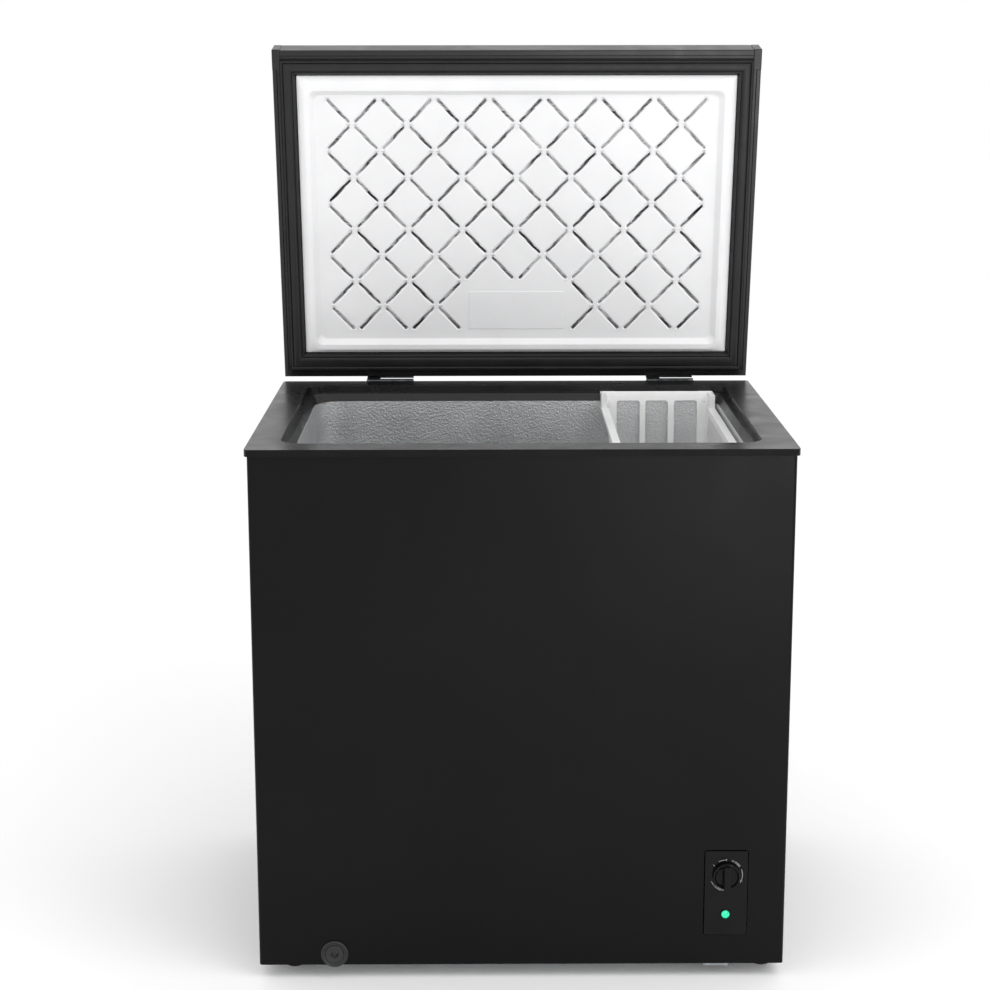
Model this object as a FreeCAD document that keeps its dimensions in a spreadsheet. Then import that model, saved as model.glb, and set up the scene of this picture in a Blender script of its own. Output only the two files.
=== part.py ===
"""Compact chest freezer, standing with its lid open.

Every sub-part is modelled in the cabinet frame with the lid shut: X to the right, Y to the
back from the middle of the rim, Z up from the floor. The lid's pieces then take a Placement
that opens the lid about its hinge line, and all pieces one that moves the origin to the
middle of the floor area that the freezer covers with its lid open.
"""
import FreeCAD, Part
import math
import os
import re

import Sketcher
from FreeCAD import Placement, Rotation, Vector

DOC = FreeCAD.newDocument("chest_freezer")
SHEET = DOC.addObject("Spreadsheet::Sheet", "Sizes")

SIZES = {
    # frame and pose
    "frame_shift": -30,
    "open_angle": 80.0,
    # cabinet
    "rim_width": 730,
    "rim_depth": 512,
    "rim_top": 747.5,
    "rim_edge": 9.5,
    "rim_overhang": 3.4,
    "foot_height": 20,
    "foot_radius": 17,
    "foot_taper": 3,
    "foot_left_x": -317,
    "foot_right_x": 337,
    "foot_y": 204,
    "sheet_steel": 0.8,
    "shell_corner": 5,
    "floor_plate": 1.2,
    "fit_gap": 0.1,
    "cut_through": 8,
    # collar of the rim and the tank inside it
    "mouth_width": 645,
    "mouth_depth": 431,
    "mouth_corner": 28,
    "collar_step": 11,
    "collar_ledge": 8,
    "collar_wall": 4,
    "tank_width": 617,
    "tank_depth": 403,
    "tank_corner": 42,
    "tank_bottom": 94,
    "step_height": 222,
    "step_width": 202,
    # compressor bay behind and below the step
    "bay_left": 168,
    "bay_front": 205,
    "bay_top": 250,
    "bay_bottom": 22,
    "bay_margin": 12,
    "base_lap": 5,
    "base_seam": 0.5,
    "base_thickness": 2,
    "channel_left": 253,
    "channel_right": 287,
    "channel_reach": 238,
    "channel_height": 11,
    "channel_wall": 2,
    "louvre_bottom": 84,
    "louvre_height": 6,
    "louvre_margin": 26,
    "grille_overlap": 4,
    "grille_thickness": 1.6,
    "gland_inset": 36,
    "gland_z": 52,
    "gland_radius": 7,
    "compressor_x": 262,
    "compressor_y": 95,
    "compressor_radius": 62,
    "compressor_height": 165,
    "compressor_base": 36,
    "compressor_foot": 3,
    "crown_radius": 28,
    "mount_radius": 9,
    "relay_bottom": 80,
    "relay_height": 58,
    "relay_width": 48,
    "relay_reach": 26,
    "drier_inset": 26,
    "drier_y": -60,
    "drier_bottom": 70,
    "drier_length": 90,
    "drier_taper": 12,
    "drier_radius": 9,
    "drier_mouth": 2.2,
    # lid
    "lid_gap": 10,
    "lid_depth": 516,
    "lid_back": 261,
    "lid_edge_height": 38,
    "lid_top_height": 17.5,
    "lid_side_wall": 8.5,
    "lid_end_wall": 13.3,
    "lid_rounding": 14,
    "cap_width": 12,
    "cap_proud": 1.5,
    "gasket_width": 23.5,
    "liner_thickness": 4,
    "liner_proud": 3,
    "liner_gap": 3,
    "liner_margin": 11,
    "liner_border_proud": 6,
    "liner_border_width": 12.6,
    # hinges
    "hinge_y": 265,
    "hinge_z": 744.5,
    "hinge_width": 73,
    "hinge_left_x": -198,
    "hinge_right_x": 243,
    "knuckle_radius": 5,
    "pin_radius": 2.5,
    "short_knuckle": 21,
    "hinge_plate": 2.5,
    # controls and drain
    "panel_x": 280,
    "panel_z": 124.3,
    "panel_width": 58.6,
    "panel_height": 122.5,
    "panel_proud": 1.5,
    "panel_lap": 4,
    "panel_room": 34,
    "switch_width": 36,
    "switch_height": 40,
    "switch_depth": 30,
    "knob_z": 150.6,
    "knob_radius": 18.5,
    "knob_height": 15,
    "shaft_radius": 3,
    "lamp_z": 93.4,
    "lamp_radius": 7.4,
    "drain_x": -257.6,
    "drain_z": 36.5,
    "drain_radius": 19,
    "drain_plug_radius": 12.6,
    "drain_room": 44,
    "drain_dimple": 4.7,
    "plug_x": -240,
    "plug_y": -150,
    "plug_stem": 8.6,
    "plug_head": 14,
    # basket
    "basket_left": 130,
    "basket_right": 304,
    "basket_depth": 398,
    "basket_top": 739,
    "basket_bottom": 566,
    "basket_wall": 2.6,
    "basket_shoulder": 12,
    "basket_corner": 30,
}

WORD = re.compile(r"[a-z][a-z_]+")
SUB_PARTS = []


def fill_sheet():
    """Write every driving dimension and its alias into the spreadsheet."""
    for row, (alias, amount) in enumerate(SIZES.items(), start=1):
        SHEET.set(f"A{row}", alias)
        SHEET.set(f"B{row}", str(amount))
        SHEET.setAlias(f"B{row}", alias)
    DOC.recompute()


def size(alias):
    """A driving dimension, read back from the spreadsheet."""
    return float(SHEET.get(alias))


def link(expression):
    """Point each alias in an expression at the spreadsheet."""
    def pointed(match):
        word = match.group()
        return f"Sizes.{word}" if word in SIZES else word
    return WORD.sub(pointed, str(expression))


# ---------------------------------------------------------------- modelling helpers


def new_body(label):
    """A PartDesign body that becomes one sub-part."""
    body = DOC.addObject("PartDesign::Body", label)
    body.Label = label
    SUB_PARTS.append(body)
    return body


def origin_plane(body, role):
    """One of the body's own origin planes."""
    return next(f for f in body.Origin.OriginFeatures if f.Role == role)


def new_sketch(body, role, name, offset):
    """An empty sketch, parallel to an origin plane at a bound offset."""
    sketch = body.newObject("Sketcher::SketchObject", name)
    sketch.AttachmentSupport = [(origin_plane(body, role), "")]
    sketch.MapMode = "FlatFace"
    sketch.setExpression("AttachmentOffset.Base.z", link(offset))
    return sketch


def bind(sketch, kind, *where, to):
    """Add a dimension to a sketch and bind it to an expression."""
    sketch.addConstraint(Sketcher.Constraint(kind, *where, 1.0))
    sketch.setExpression(f"Constraints[{sketch.ConstraintCount - 1}]", link(to))


def polygon(body, role, name, corners, offset=0):
    """A closed outline whose corners are each bound by two dimensions."""
    sketch = new_sketch(body, role, name, offset)
    count = len(corners)
    ring = [Vector(10 * math.cos(math.tau * i / count), 10 * math.sin(math.tau * i / count), 0)
            for i in range(count)]
    for i in range(count):
        sketch.addGeometry(Part.LineSegment(ring[i], ring[(i + 1) % count]))
    for i in range(count):
        sketch.addConstraint(Sketcher.Constraint("Coincident", i, 2, (i + 1) % count, 1))
    for i, (across, along) in enumerate(corners):
        bind(sketch, "DistanceX", -1, 1, i, 1, to=across)
        bind(sketch, "DistanceY", -1, 1, i, 1, to=along)
    return sketch


def rectangle(body, role, name, low, high, offset=0):
    """A rectangle from its low to its high corner."""
    (x0, y0), (x1, y1) = low, high
    return polygon(body, role, name, [(x0, y0), (x1, y0), (x1, y1), (x0, y1)], offset)


def centred(body, role, name, width, height, centre=("0", "0"), offset=0):
    """A rectangle about a centre."""
    cx, cy = centre
    low = (f"{cx} - ({width})/2", f"{cy} - ({height})/2")
    high = (f"{cx} + ({width})/2", f"{cy} + ({height})/2")
    return rectangle(body, role, name, low, high, offset)


def circle(body, role, name, centre, radius, offset=0):
    """A circle about a centre."""
    sketch = new_sketch(body, role, name, offset)
    sketch.addGeometry(Part.Circle(Vector(1, 1, 0), Vector(0, 0, 1), 5))
    bind(sketch, "DistanceX", -1, 1, 0, 3, to=centre[0])
    bind(sketch, "DistanceY", -1, 1, 0, 3, to=centre[1])
    bind(sketch, "Radius", 0, to=radius)
    return sketch


def pad(body, sketch, length, both_ways=False, backwards=False):
    """Extrude a sketch by a bound length."""
    feature = body.newObject("PartDesign::Pad", f"{sketch.Name}_pad")
    feature.Profile = sketch
    feature.setExpression("Length", link(length))
    feature.Midplane = both_ways
    feature.Reversed = backwards
    return feature


def pocket(body, sketch, length, both_ways=False, backwards=False):
    """Cut a sketch's outline by a bound length, and make sure that it removes material."""
    DOC.recompute()
    before = body.Shape.Volume
    feature = body.newObject("PartDesign::Pocket", f"{sketch.Name}_pocket")
    feature.Profile = sketch
    feature.setExpression("Length", link(length))
    feature.Midplane = both_ways
    feature.Reversed = backwards
    DOC.recompute()
    if body.Shape.Volume >= before - 1e-6:
        raise RuntimeError(f"{body.Label}: {sketch.Name} cuts nothing")
    return feature


def round_edges(body, radius, chosen):
    """Fillet the edges of a body that a test chooses."""
    DOC.recompute()
    base = body.Tip
    names = [f"Edge{i}" for i, edge in enumerate(base.Shape.Edges, start=1) if chosen(edge)]
    if not names:
        raise RuntimeError(f"{body.Label}: no edge to round")
    feature = body.newObject("PartDesign::Fillet", f"{body.Name}_round")
    feature.Base = (base, names)
    feature.setExpression("Radius", link(radius))
    DOC.recompute()
    return feature


def hollow_out(body, wall, open_height):
    """Leave only a wall of a body, open at its level face at one height."""
    DOC.recompute()
    base = body.Tip
    boxes = [face.BoundBox for face in base.Shape.Faces]
    faces = [f"Face{i}" for i, box in enumerate(boxes, start=1)
             if abs(box.ZMin - open_height) < 1e-4 and abs(box.ZMax - open_height) < 1e-4]
    feature = body.newObject("PartDesign::Thickness", f"{body.Name}_hollow")
    feature.Base = (base, faces)
    feature.setExpression("Value", link(wall))
    feature.Reversed = True
    DOC.recompute()
    return feature


def upright(edge):
    """Is this a straight edge along Z?"""
    if len(edge.Vertexes) != 2:
        return False
    low, high = (v.Point for v in edge.Vertexes)
    return abs(low.x - high.x) < 1e-6 and abs(low.y - high.y) < 1e-6


def level_at(height):
    """A test for edges that lie wholly at one height."""
    def chosen(edge):
        return all(abs(v.Z - height) < 1e-4 for v in edge.Vertexes)
    return chosen


def solid_group(label, solids):
    """Several like solids of one sub-part, as one compound of bound primitives."""
    group = DOC.addObject("Part::Compound", label)
    group.Label = label
    group.Links = solids
    SUB_PARTS.append(group)
    return group


def primitive(kind, name, place, turn=None, **bound):
    """A Part primitive whose sizes and place are bound to the sheet."""
    solid = DOC.addObject(f"Part::{kind}", name)
    for prop, expression in bound.items():
        solid.setExpression(prop, link(expression))
    if turn is not None:
        solid.Placement = Placement(Vector(0, 0, 0), turn)
    for axis, expression in zip("xyz", place):
        solid.setExpression(f"Placement.Base.{axis}", link(expression))
    return solid


def fused(name, solids):
    """One solid made of several."""
    union = DOC.addObject("Part::MultiFuse", name)
    union.Shapes = solids
    return union


def cut(name, base, tool):
    """One solid with another taken out of it."""
    difference = DOC.addObject("Part::Cut", name)
    difference.Base = base
    difference.Tool = tool
    return difference


FACING_FRONT = Rotation(Vector(1, 0, 0), 90)
ALONG_X = Rotation(Vector(0, 1, 0), 90)


def as_sub_part(thing, label):
    """Name a finished primitive or boolean as a sub-part."""
    thing.Label = label
    SUB_PARTS.append(thing)
    return thing


def bent_tube(label, route, bend, radius):
    """A tube of straight runs joined by tangent arcs of one bend radius."""
    edges = []
    start = route[0]
    for corner, after in zip(route[1:-1], route[2:]):
        into = (corner - start).normalize()
        out = (after - corner).normalize()
        half_turn = into.getAngle(out) / 2
        back = bend * math.tan(half_turn)
        first = corner - into * back
        last = corner + out * back
        bisector = (out - into).normalize()
        middle = corner + bisector * (bend / math.cos(half_turn) - bend)
        edges.append(Part.LineSegment(start, first).toShape())
        edges.append(Part.Arc(first, middle, last).toShape())
        start = last
    edges.append(Part.LineSegment(start, route[-1]).toShape())
    path = Part.Wire(edges)
    ring = Part.Wire([Part.Circle(route[0], route[1] - route[0], radius).toShape()])
    tube = DOC.addObject("Part::Feature", label)
    tube.Shape = path.makePipeShell([ring], True, False)
    tube.Label = label
    expected = math.pi * radius ** 2 * path.Length
    if abs(tube.Shape.Volume / expected - 1) > 0.02:
        raise RuntimeError(f"{label}: swept volume is off")
    SUB_PARTS.append(tube)
    return tube


def winding(half_width, half_depth, bottom, pitch, turns):
    """Corners of a rectangular winding that climbs a quarter of its pitch on each side."""
    corners = [(-1, -1), (1, -1), (1, 1), (-1, 1)]
    route = []
    for step in range(4 * turns + 1):
        across, along = corners[step % 4]
        route.append(Vector(half_width * across, half_depth * along, bottom + pitch * step / 4))
    return route


# ---------------------------------------------------------------- cabinet


def outer_shell():
    """Painted sheet wrapped round the front and both sides."""
    body = new_body("outer_shell")
    side = "(rim_width/2 - rim_overhang)"
    deep = "(rim_depth/2 - rim_overhang)"
    outline = [(f"-{side}", deep), (f"-{side}", f"-{deep}"), (side, f"-{deep}"), (side, deep),
               (f"{side} - sheet_steel", deep), (f"{side} - sheet_steel", f"sheet_steel - {deep}"),
               (f"sheet_steel - {side}", f"sheet_steel - {deep}"), (f"sheet_steel - {side}", deep)]
    pad(body, polygon(body, "XY_Plane", "shell_outline", outline, "foot_height"),
        "rim_top - rim_edge - foot_height")
    front = size("sheet_steel") - size("rim_depth") / 2 + size("rim_overhang") + 0.01
    outer_x = size("rim_width") / 2 - size("rim_overhang") - 0.01
    fit = size("fit_gap")

    def outer_corner(edge):
        at = edge.Vertexes[0]
        return upright(edge) and at.Y < front - fit and abs(at.X) > outer_x

    def inner_corner(edge):
        at = edge.Vertexes[0]
        return upright(edge) and abs(at.Y - front) < fit and abs(at.X) < outer_x

    round_edges(body, "shell_corner", outer_corner)
    round_edges(body, "shell_corner - sheet_steel", inner_corner)
    opening = centred(body, "XZ_Plane", "panel_opening", "panel_width - panel_lap", "panel_height - panel_lap",
                      ("panel_x", "panel_z"), deep)
    pocket(body, opening, "cut_through", both_ways=True)
    drain = circle(body, "XZ_Plane", "drain_opening", ("drain_x", "drain_z"), "drain_plug_radius + 1", deep)
    pocket(body, drain, "cut_through", both_ways=True)


def back_panel():
    """Flat sheet that closes the back, with an opening onto the compressor bay."""
    body = new_body("back_panel")
    half = "(rim_width/2 - rim_overhang - sheet_steel - fit_gap)"
    inner = "sheet_steel - rim_depth/2 + rim_overhang"
    sheet = rectangle(body, "XZ_Plane", "back_sheet", (f"-{half}", "foot_height"),
                      (half, "rim_top - rim_edge"), inner)
    pad(body, sheet, "sheet_steel", backwards=True)
    bay = rectangle(body, "XZ_Plane", "bay_opening", ("bay_left + bay_margin", "bay_bottom + bay_margin"),
                    ("rim_width/2 - rim_overhang - bay_margin", "bay_top - bay_margin"), inner)
    pocket(body, bay, "cut_through", both_ways=True)


def bottom_panel():
    """Galvanised sheet under the insulation, left of the compressor's base plate."""
    body = new_body("bottom_panel")
    left = "-(rim_width/2 - rim_overhang - sheet_steel - fit_gap)"
    deep = "(rim_depth/2 - rim_overhang - sheet_steel - fit_gap)"
    sheet = rectangle(body, "XY_Plane", "floor_sheet", (left, f"-{deep}"),
                      ("bay_left - base_lap", deep), "foot_height")
    pad(body, sheet, "floor_plate")
    round_edges(body, "shell_corner", lambda e: upright(e) and e.Vertexes[0].X < 0 and e.Vertexes[0].Y < 0)


def base_plate():
    """Galvanised plate that carries the compressor, stiffened by a channel below it."""
    body = new_body("base_plate")
    right = "(rim_width/2 - rim_overhang - sheet_steel - fit_gap)"
    deep = "(rim_depth/2 - rim_overhang - sheet_steel - fit_gap)"
    sheet = rectangle(body, "XY_Plane", "base_sheet", ("bay_left - base_lap + base_seam", f"-{deep}"),
                      (right, deep), "foot_height")
    pad(body, sheet, "base_thickness")
    middle = (size("bay_left") + size("rim_width") / 2) / 2
    round_edges(body, "shell_corner",
                lambda e: upright(e) and e.Vertexes[0].X > middle and e.Vertexes[0].Y < 0)
    underside = "foot_height - channel_height"
    channel = rectangle(body, "XY_Plane", "channel", ("channel_left", "-channel_reach"),
                        ("channel_right", "channel_reach"), underside)
    pad(body, channel, "channel_height")
    hollow = rectangle(body, "XY_Plane", "channel_hollow",
                       ("channel_left + channel_wall", "channel_wall - channel_reach"),
                       ("channel_right - channel_wall", "channel_reach - channel_wall"), underside)
    pocket(body, hollow, "channel_height - channel_wall", backwards=True)


def feet():
    """Four moulded feet under the corners."""
    solids = []
    for across in ("foot_left_x", "foot_right_x"):
        for end in ("-", ""):
            place = (across, f"{end}foot_y", "0")
            name = f"foot_{len(solids)}"
            solids.append(primitive("Cone", name, place, Radius1="foot_radius - foot_taper",
                                    Radius2="foot_radius", Height="foot_height"))
    solid_group("feet", solids)


def rim_frame():
    """Moulded frame round the mouth: a flat flange, and a collar with a ledge that hangs inside."""
    body = new_body("rim_frame")
    flange = centred(body, "XY_Plane", "flange", "rim_width", "rim_depth", offset="rim_top - rim_edge")
    pad(body, flange, "rim_edge")
    round_edges(body, "shell_corner + 2", upright)
    collar = centred(body, "XY_Plane", "collar", "mouth_width + 2*collar_wall",
                     "mouth_depth + 2*collar_wall", offset="rim_top - 2*collar_step")
    pad(body, collar, "2*collar_step - rim_edge/2")
    mouth = centred(body, "XY_Plane", "mouth", "mouth_width", "mouth_depth", offset="rim_top")
    pocket(body, mouth, "collar_step")
    lower = centred(body, "XY_Plane", "lower_mouth", "mouth_width - 2*collar_ledge",
                    "mouth_depth - 2*collar_ledge", offset="rim_top")
    pocket(body, lower, "4*collar_step")
    inside = size("mouth_width") / 2 + size("collar_wall") + 0.5
    round_edges(body, "mouth_corner", lambda e: upright(e) and abs(e.Vertexes[0].X) < inside)
    round_edges(body, "1", level_at(size("rim_top")))


def tank_outline(name, body, grow):
    """Side profile of the tank: a deep well at the left and a raised floor over the bay."""
    half = f"(tank_width/2 + {grow})"
    low = f"tank_bottom - {grow}"
    top = "rim_top - 2*collar_step"
    corners = [(f"-{half}", low), (f"tank_width/2 - step_width + {grow}", low),
               (f"tank_width/2 - step_width + {grow}", f"tank_bottom + step_height - {grow}"),
               (half, f"tank_bottom + step_height - {grow}"), (half, top), (f"-{half}", top)]
    return polygon(body, "XZ_Plane", name, corners)


def inner_tank():
    """Embossed aluminium tank, folded from sheet, with rounded upright corners."""
    body = new_body("inner_tank")
    pad(body, tank_outline("tank_profile", body, "sheet_steel"), "tank_depth + 2*sheet_steel", both_ways=True)
    outer = size("tank_width") / 2
    round_edges(body, "tank_corner", lambda e: upright(e) and abs(e.Vertexes[0].X) > outer)
    top = size("rim_top") - 2 * size("collar_step")
    hollow_out(body, "sheet_steel", top)
    drain = circle(body, "XY_Plane", "tank_drain", ("plug_x", "plug_y"), "plug_stem + 0.4", "tank_bottom")
    pocket(body, drain, "cut_through", both_ways=True)


def foam_insulation():
    """Foam poured between the shell and the tank, left open for the compressor bay."""
    body = new_body("foam_insulation")
    gap = "(sheet_steel + 2*fit_gap)"
    width = f"rim_width - 2*rim_overhang - 2*{gap}"
    depth = f"rim_depth - 2*rim_overhang - 2*{gap}"
    block = centred(body, "XY_Plane", "foam_block", width, depth, offset="foot_height + floor_plate")
    pad(body, block, "rim_top - rim_edge - foot_height - floor_plate - 2*fit_gap")
    round_edges(body, "shell_corner", upright)
    collar = centred(body, "XY_Plane", "collar_room", "mouth_width + 2*collar_wall + 4*fit_gap",
                     "mouth_depth + 2*collar_wall + 4*fit_gap", offset="rim_top")
    pocket(body, collar, "2*collar_step + 2*fit_gap")
    pocket(body, tank_outline("tank_room", body, gap), f"tank_depth + 2*{gap}", both_ways=True)
    beyond = ("rim_width", "rim_depth")
    bay = rectangle(body, "XY_Plane", "bay_room", ("bay_left", "-bay_front"), beyond, "0")
    pocket(body, bay, "bay_top", backwards=True)
    base = rectangle(body, "XY_Plane", "base_room", ("bay_left - base_lap", "-rim_depth"), beyond, "0")
    pocket(body, base, "foot_height + base_thickness + 2*fit_gap", backwards=True)
    panel = rectangle(body, "XY_Plane", "panel_cavity", ("panel_x - panel_room", "-rim_depth"),
                      ("panel_x + panel_room", "0"), "0")
    pocket(body, panel, "panel_z + panel_height/2 + panel_lap + 2", backwards=True)
    drain = circle(body, "XZ_Plane", "drain_cavity", ("drain_x", "drain_z"), "drain_radius - 2", "rim_depth/2")
    pocket(body, drain, "rim_depth/2 - tank_depth/2 + drain_room - 14")
    well = circle(body, "XY_Plane", "drain_well", ("plug_x", "plug_y"), "plug_head - 2", "0")
    pocket(body, well, "tank_bottom + 2", backwards=True)


def evaporator_coil():
    """Cooling tube wound round the tank, in the foam."""
    radius = 4
    stand_off = size("sheet_steel") + radius + 0.6
    route = winding(half_width=size("tank_width") / 2 + stand_off,
                    half_depth=size("tank_depth") / 2 + stand_off, bottom=345, pitch=60, turns=6)
    bent_tube("evaporator_coil", route, size("tank_corner"), radius)


def condenser_coil():
    """Warm tube wound inside the shell, in the foam."""
    radius = 2.4
    bend = 30
    inset = size("rim_overhang") + size("sheet_steel") + radius + 1.2
    route = winding(half_width=size("rim_width") / 2 - inset, half_depth=size("rim_depth") / 2 - inset,
                    bottom=290, pitch=80, turns=5)
    bent_tube("condenser_coil", route, bend, radius)


def compressor():
    """Sealed can with a rounded crown, on a foot plate."""
    body = new_body("compressor")
    can = circle(body, "XY_Plane", "can", ("compressor_x", "compressor_y"), "compressor_radius",
                 "compressor_base")
    pad(body, can, "compressor_height")
    crown = size("compressor_base") + size("compressor_height")
    round_edges(body, "crown_radius", level_at(crown))
    foot = centred(body, "XY_Plane", "foot_plate", "2*compressor_radius + 30", "2*compressor_radius + 14",
                   ("compressor_x", "compressor_y"), "compressor_base - compressor_foot")
    pad(body, foot, "compressor_foot + 2*fit_gap")


def compressor_mounts():
    """Rubber grommets between the compressor's foot plate and the base plate."""
    solids = []
    bottom = "foot_height + base_thickness"
    for dx in ("-", "+"):
        for dy in ("-", "+"):
            place = (f"compressor_x {dx} (compressor_radius + 6)",
                     f"compressor_y {dy} (compressor_radius - 4)", bottom)
            solids.append(primitive("Cylinder", f"mount_{len(solids)}", place, Radius="mount_radius",
                                    Height=f"compressor_base - compressor_foot - ({bottom})"))
    solid_group("compressor_mounts", solids)


def terminal_box():
    """Moulded cover over the starting relay and overload switch."""
    body = new_body("terminal_box")
    left = "compressor_x - compressor_radius - relay_reach"
    box = rectangle(body, "XY_Plane", "relay_cover", (left, "compressor_y - relay_width/2"),
                    ("compressor_x - compressor_radius + 14", "compressor_y + relay_width/2"), "relay_bottom")
    pad(body, box, "relay_height")
    can_left = size("compressor_x") - size("compressor_radius")
    round_edges(body, "4", lambda e: upright(e) and e.Vertexes[0].X < can_left - size("relay_reach") / 2)
    can = circle(body, "XY_Plane", "can_room", ("compressor_x", "compressor_y"),
                 "compressor_radius + 4*fit_gap", "0")
    pocket(body, can, "relay_bottom + 2*relay_height", backwards=True)


def refrigerant_lines():
    """Copper lines between the compressor, the coils and the filter drier."""
    x, y = size("compressor_x"), size("compressor_y")
    side = x + size("compressor_radius") - 1
    top = size("bay_top")
    suction = [Vector(x + 20, y - 66, 120), Vector(x + 20, y - 96, 120), Vector(x + 20, y - 96, top - 40),
               Vector(x - 40, y - 130, top - 20), Vector(x - 40, y - 130, top + 30)]
    bent_tube("suction_tube", suction, 10, 4)
    discharge = [Vector(side + 3, y + 20, 90), Vector(side + 18, y + 20, 90), Vector(side + 18, y + 20, 225),
                 Vector(side + 18, y - 60, 235), Vector(side + 18, y - 60, 280)]
    bent_tube("discharge_tube", discharge, 8, 2.5)


def filter_drier():
    """Copper cylinder with tapered ends that dries the refrigerant."""
    across = "bay_left + drier_inset"
    barrel = primitive("Cylinder", "drier_barrel", (across, "drier_y", "drier_bottom"),
                       Radius="drier_radius", Height="drier_length")
    lower = primitive("Cone", "drier_lower", (across, "drier_y", "drier_bottom - drier_taper"),
                      Radius1="drier_mouth", Radius2="drier_radius", Height="drier_taper")
    upper = primitive("Cone", "drier_upper", (across, "drier_y", "drier_bottom + drier_length"),
                      Radius1="drier_radius", Radius2="drier_mouth", Height="drier_taper")
    as_sub_part(fused("filter_drier", [barrel, lower, upper]), "filter_drier")


def capillary_tube():
    """Thin tube from the drier up to the evaporator."""
    x = size("bay_left") + size("drier_inset")
    y = size("drier_y")
    start = size("drier_bottom") + size("drier_length") + size("drier_taper") + 1
    route = [Vector(x, y, start), Vector(x, y, start + 27), Vector(x + 40, y - 30, start + 52),
             Vector(x + 40, y - 30, start + 117)]
    bent_tube("capillary_tube", route, 9, 1.1)


def rear_grille():
    """Louvred cover over the compressor bay, with the hole for the supply cord's gland."""
    body = new_body("rear_grille")
    behind = "-(rim_depth/2 - rim_overhang + fit_gap)"
    plate = rectangle(body, "XZ_Plane", "cover", ("bay_left + grille_overlap", "bay_bottom + grille_overlap"),
                      ("rim_width/2 - 10", "bay_top - grille_overlap/2"), behind)
    pad(body, plate, "grille_thickness", backwards=True)
    slot = rectangle(body, "XZ_Plane", "louvre", ("bay_left + louvre_margin", "louvre_bottom"),
                     ("rim_width/2 - louvre_margin - 8", "louvre_bottom + louvre_height"), behind)
    cut_slot = pocket(body, slot, "cut_through", both_ways=True)
    rows = body.newObject("PartDesign::LinearPattern", "louvres")
    rows.Originals = [cut_slot]
    rows.Direction = (origin_axis(body, "Z_Axis"), [""])
    rows.Occurrences = 12
    rows.setExpression("Length", link("11*2*louvre_height"))
    body.Tip = rows
    gland = circle(body, "XZ_Plane", "gland_hole", ("bay_left + gland_inset", "gland_z"),
                   "gland_radius", behind)
    pocket(body, gland, "cut_through", both_ways=True)


def origin_axis(body, role):
    """One of the body's own origin axes."""
    return next(f for f in body.Origin.OriginFeatures if f.Role == role)


def cord_inlet():
    """Moulded gland where the supply cord enters the compressor bay."""
    back = "rim_depth/2 - rim_overhang"
    across = "bay_left + gland_inset"
    flange = primitive("Cylinder", "gland_flange", (across, f"{back} + 5.2", "gland_z"), FACING_FRONT,
                       Radius="gland_radius + 3", Height="3.4")
    neck = primitive("Cylinder", "gland_neck", (across, f"{back} + 3", "gland_z"), FACING_FRONT,
                     Radius="gland_radius - fit_gap", Height="11")
    bore = primitive("Cylinder", "gland_bore", (across, f"{back} + 8", "gland_z"), FACING_FRONT,
                     Radius="gland_radius/2", Height="30")
    as_sub_part(cut("cord_inlet", fused("gland_body", [flange, neck]), bore), "cord_inlet")


def grille_screws():
    """Pan-head screws in the corners of the rear cover."""
    solids = []
    for across in ("bay_left + 10", "rim_width/2 - 16"):
        for up in ("bay_bottom + 10", "bay_top - 8"):
            place = (across, "rim_depth/2 - rim_overhang + 4", up)
            solids.append(primitive("Cylinder", f"grille_screw_{len(solids)}", place, FACING_FRONT,
                                    Radius="3.6", Height="2.2"))
    solid_group("grille_screws", solids)


# ---------------------------------------------------------------- controls and drain


def control_panel():
    """Moulded panel let into the shell, low at the right of the front."""
    body = new_body("control_panel")
    front = "rim_depth/2 - rim_overhang"
    centre = ("panel_x", "panel_z")
    plate = centred(body, "XZ_Plane", "bezel", "panel_width", "panel_height", centre, front)
    pad(body, plate, "panel_proud")
    reach = size("panel_width") / 2 - size("fit_gap")
    round_edges(body, "3", lambda e: e.Length < 2 and abs(e.Vertexes[0].X - size("panel_x")) > reach)
    plug = centred(body, "XZ_Plane", "bezel_plug", "panel_width - 5", "panel_height - 5", centre, front)
    pad(body, plug, "3.5", backwards=True)
    shaft = circle(body, "XZ_Plane", "shaft_hole", ("panel_x", "knob_z"), "shaft_radius + 0.5", front)
    pocket(body, shaft, "2*cut_through", both_ways=True)
    lamp = circle(body, "XZ_Plane", "lamp_hole", ("panel_x", "lamp_z"), "lamp_radius - 1.2", front)
    pocket(body, lamp, "2*cut_through", both_ways=True)


def thermostat():
    """Switch body behind the panel."""
    body = new_body("thermostat")
    back_of_panel = "rim_depth/2 - rim_overhang - 3.7"
    box = centred(body, "XZ_Plane", "switch_box", "switch_width", "switch_height",
                  ("panel_x", "knob_z"), back_of_panel)
    pad(body, box, "switch_depth", backwards=True)
    hollow = circle(body, "XZ_Plane", "shaft_socket", ("panel_x", "knob_z"), "shaft_radius + 0.4",
                    back_of_panel)
    pocket(body, hollow, "cut_through")


def thermostat_capillary():
    """Sensing tube from the thermostat to the tank."""
    x, z = size("panel_x"), size("knob_z")
    back = -(size("rim_depth") / 2 - size("rim_overhang") - size("switch_depth") - 4)
    route = [Vector(x - 12, back, z), Vector(x - 12, back + 40, z), Vector(x - 12, back + 60, z + 60),
             Vector(x - 12, back + 60, z + 150)]
    bent_tube("thermostat_capillary", route, 10, 1.1)


def thermostat_shaft():
    """Turning shaft of the thermostat."""
    length = "rim_overhang + 14"
    place = ("panel_x", "-(rim_depth/2 - rim_overhang - 10)", "knob_z")
    shaft = primitive("Cylinder", "shaft", place, FACING_FRONT, Radius="shaft_radius", Height=length)
    as_sub_part(shaft, "thermostat_shaft")


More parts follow.
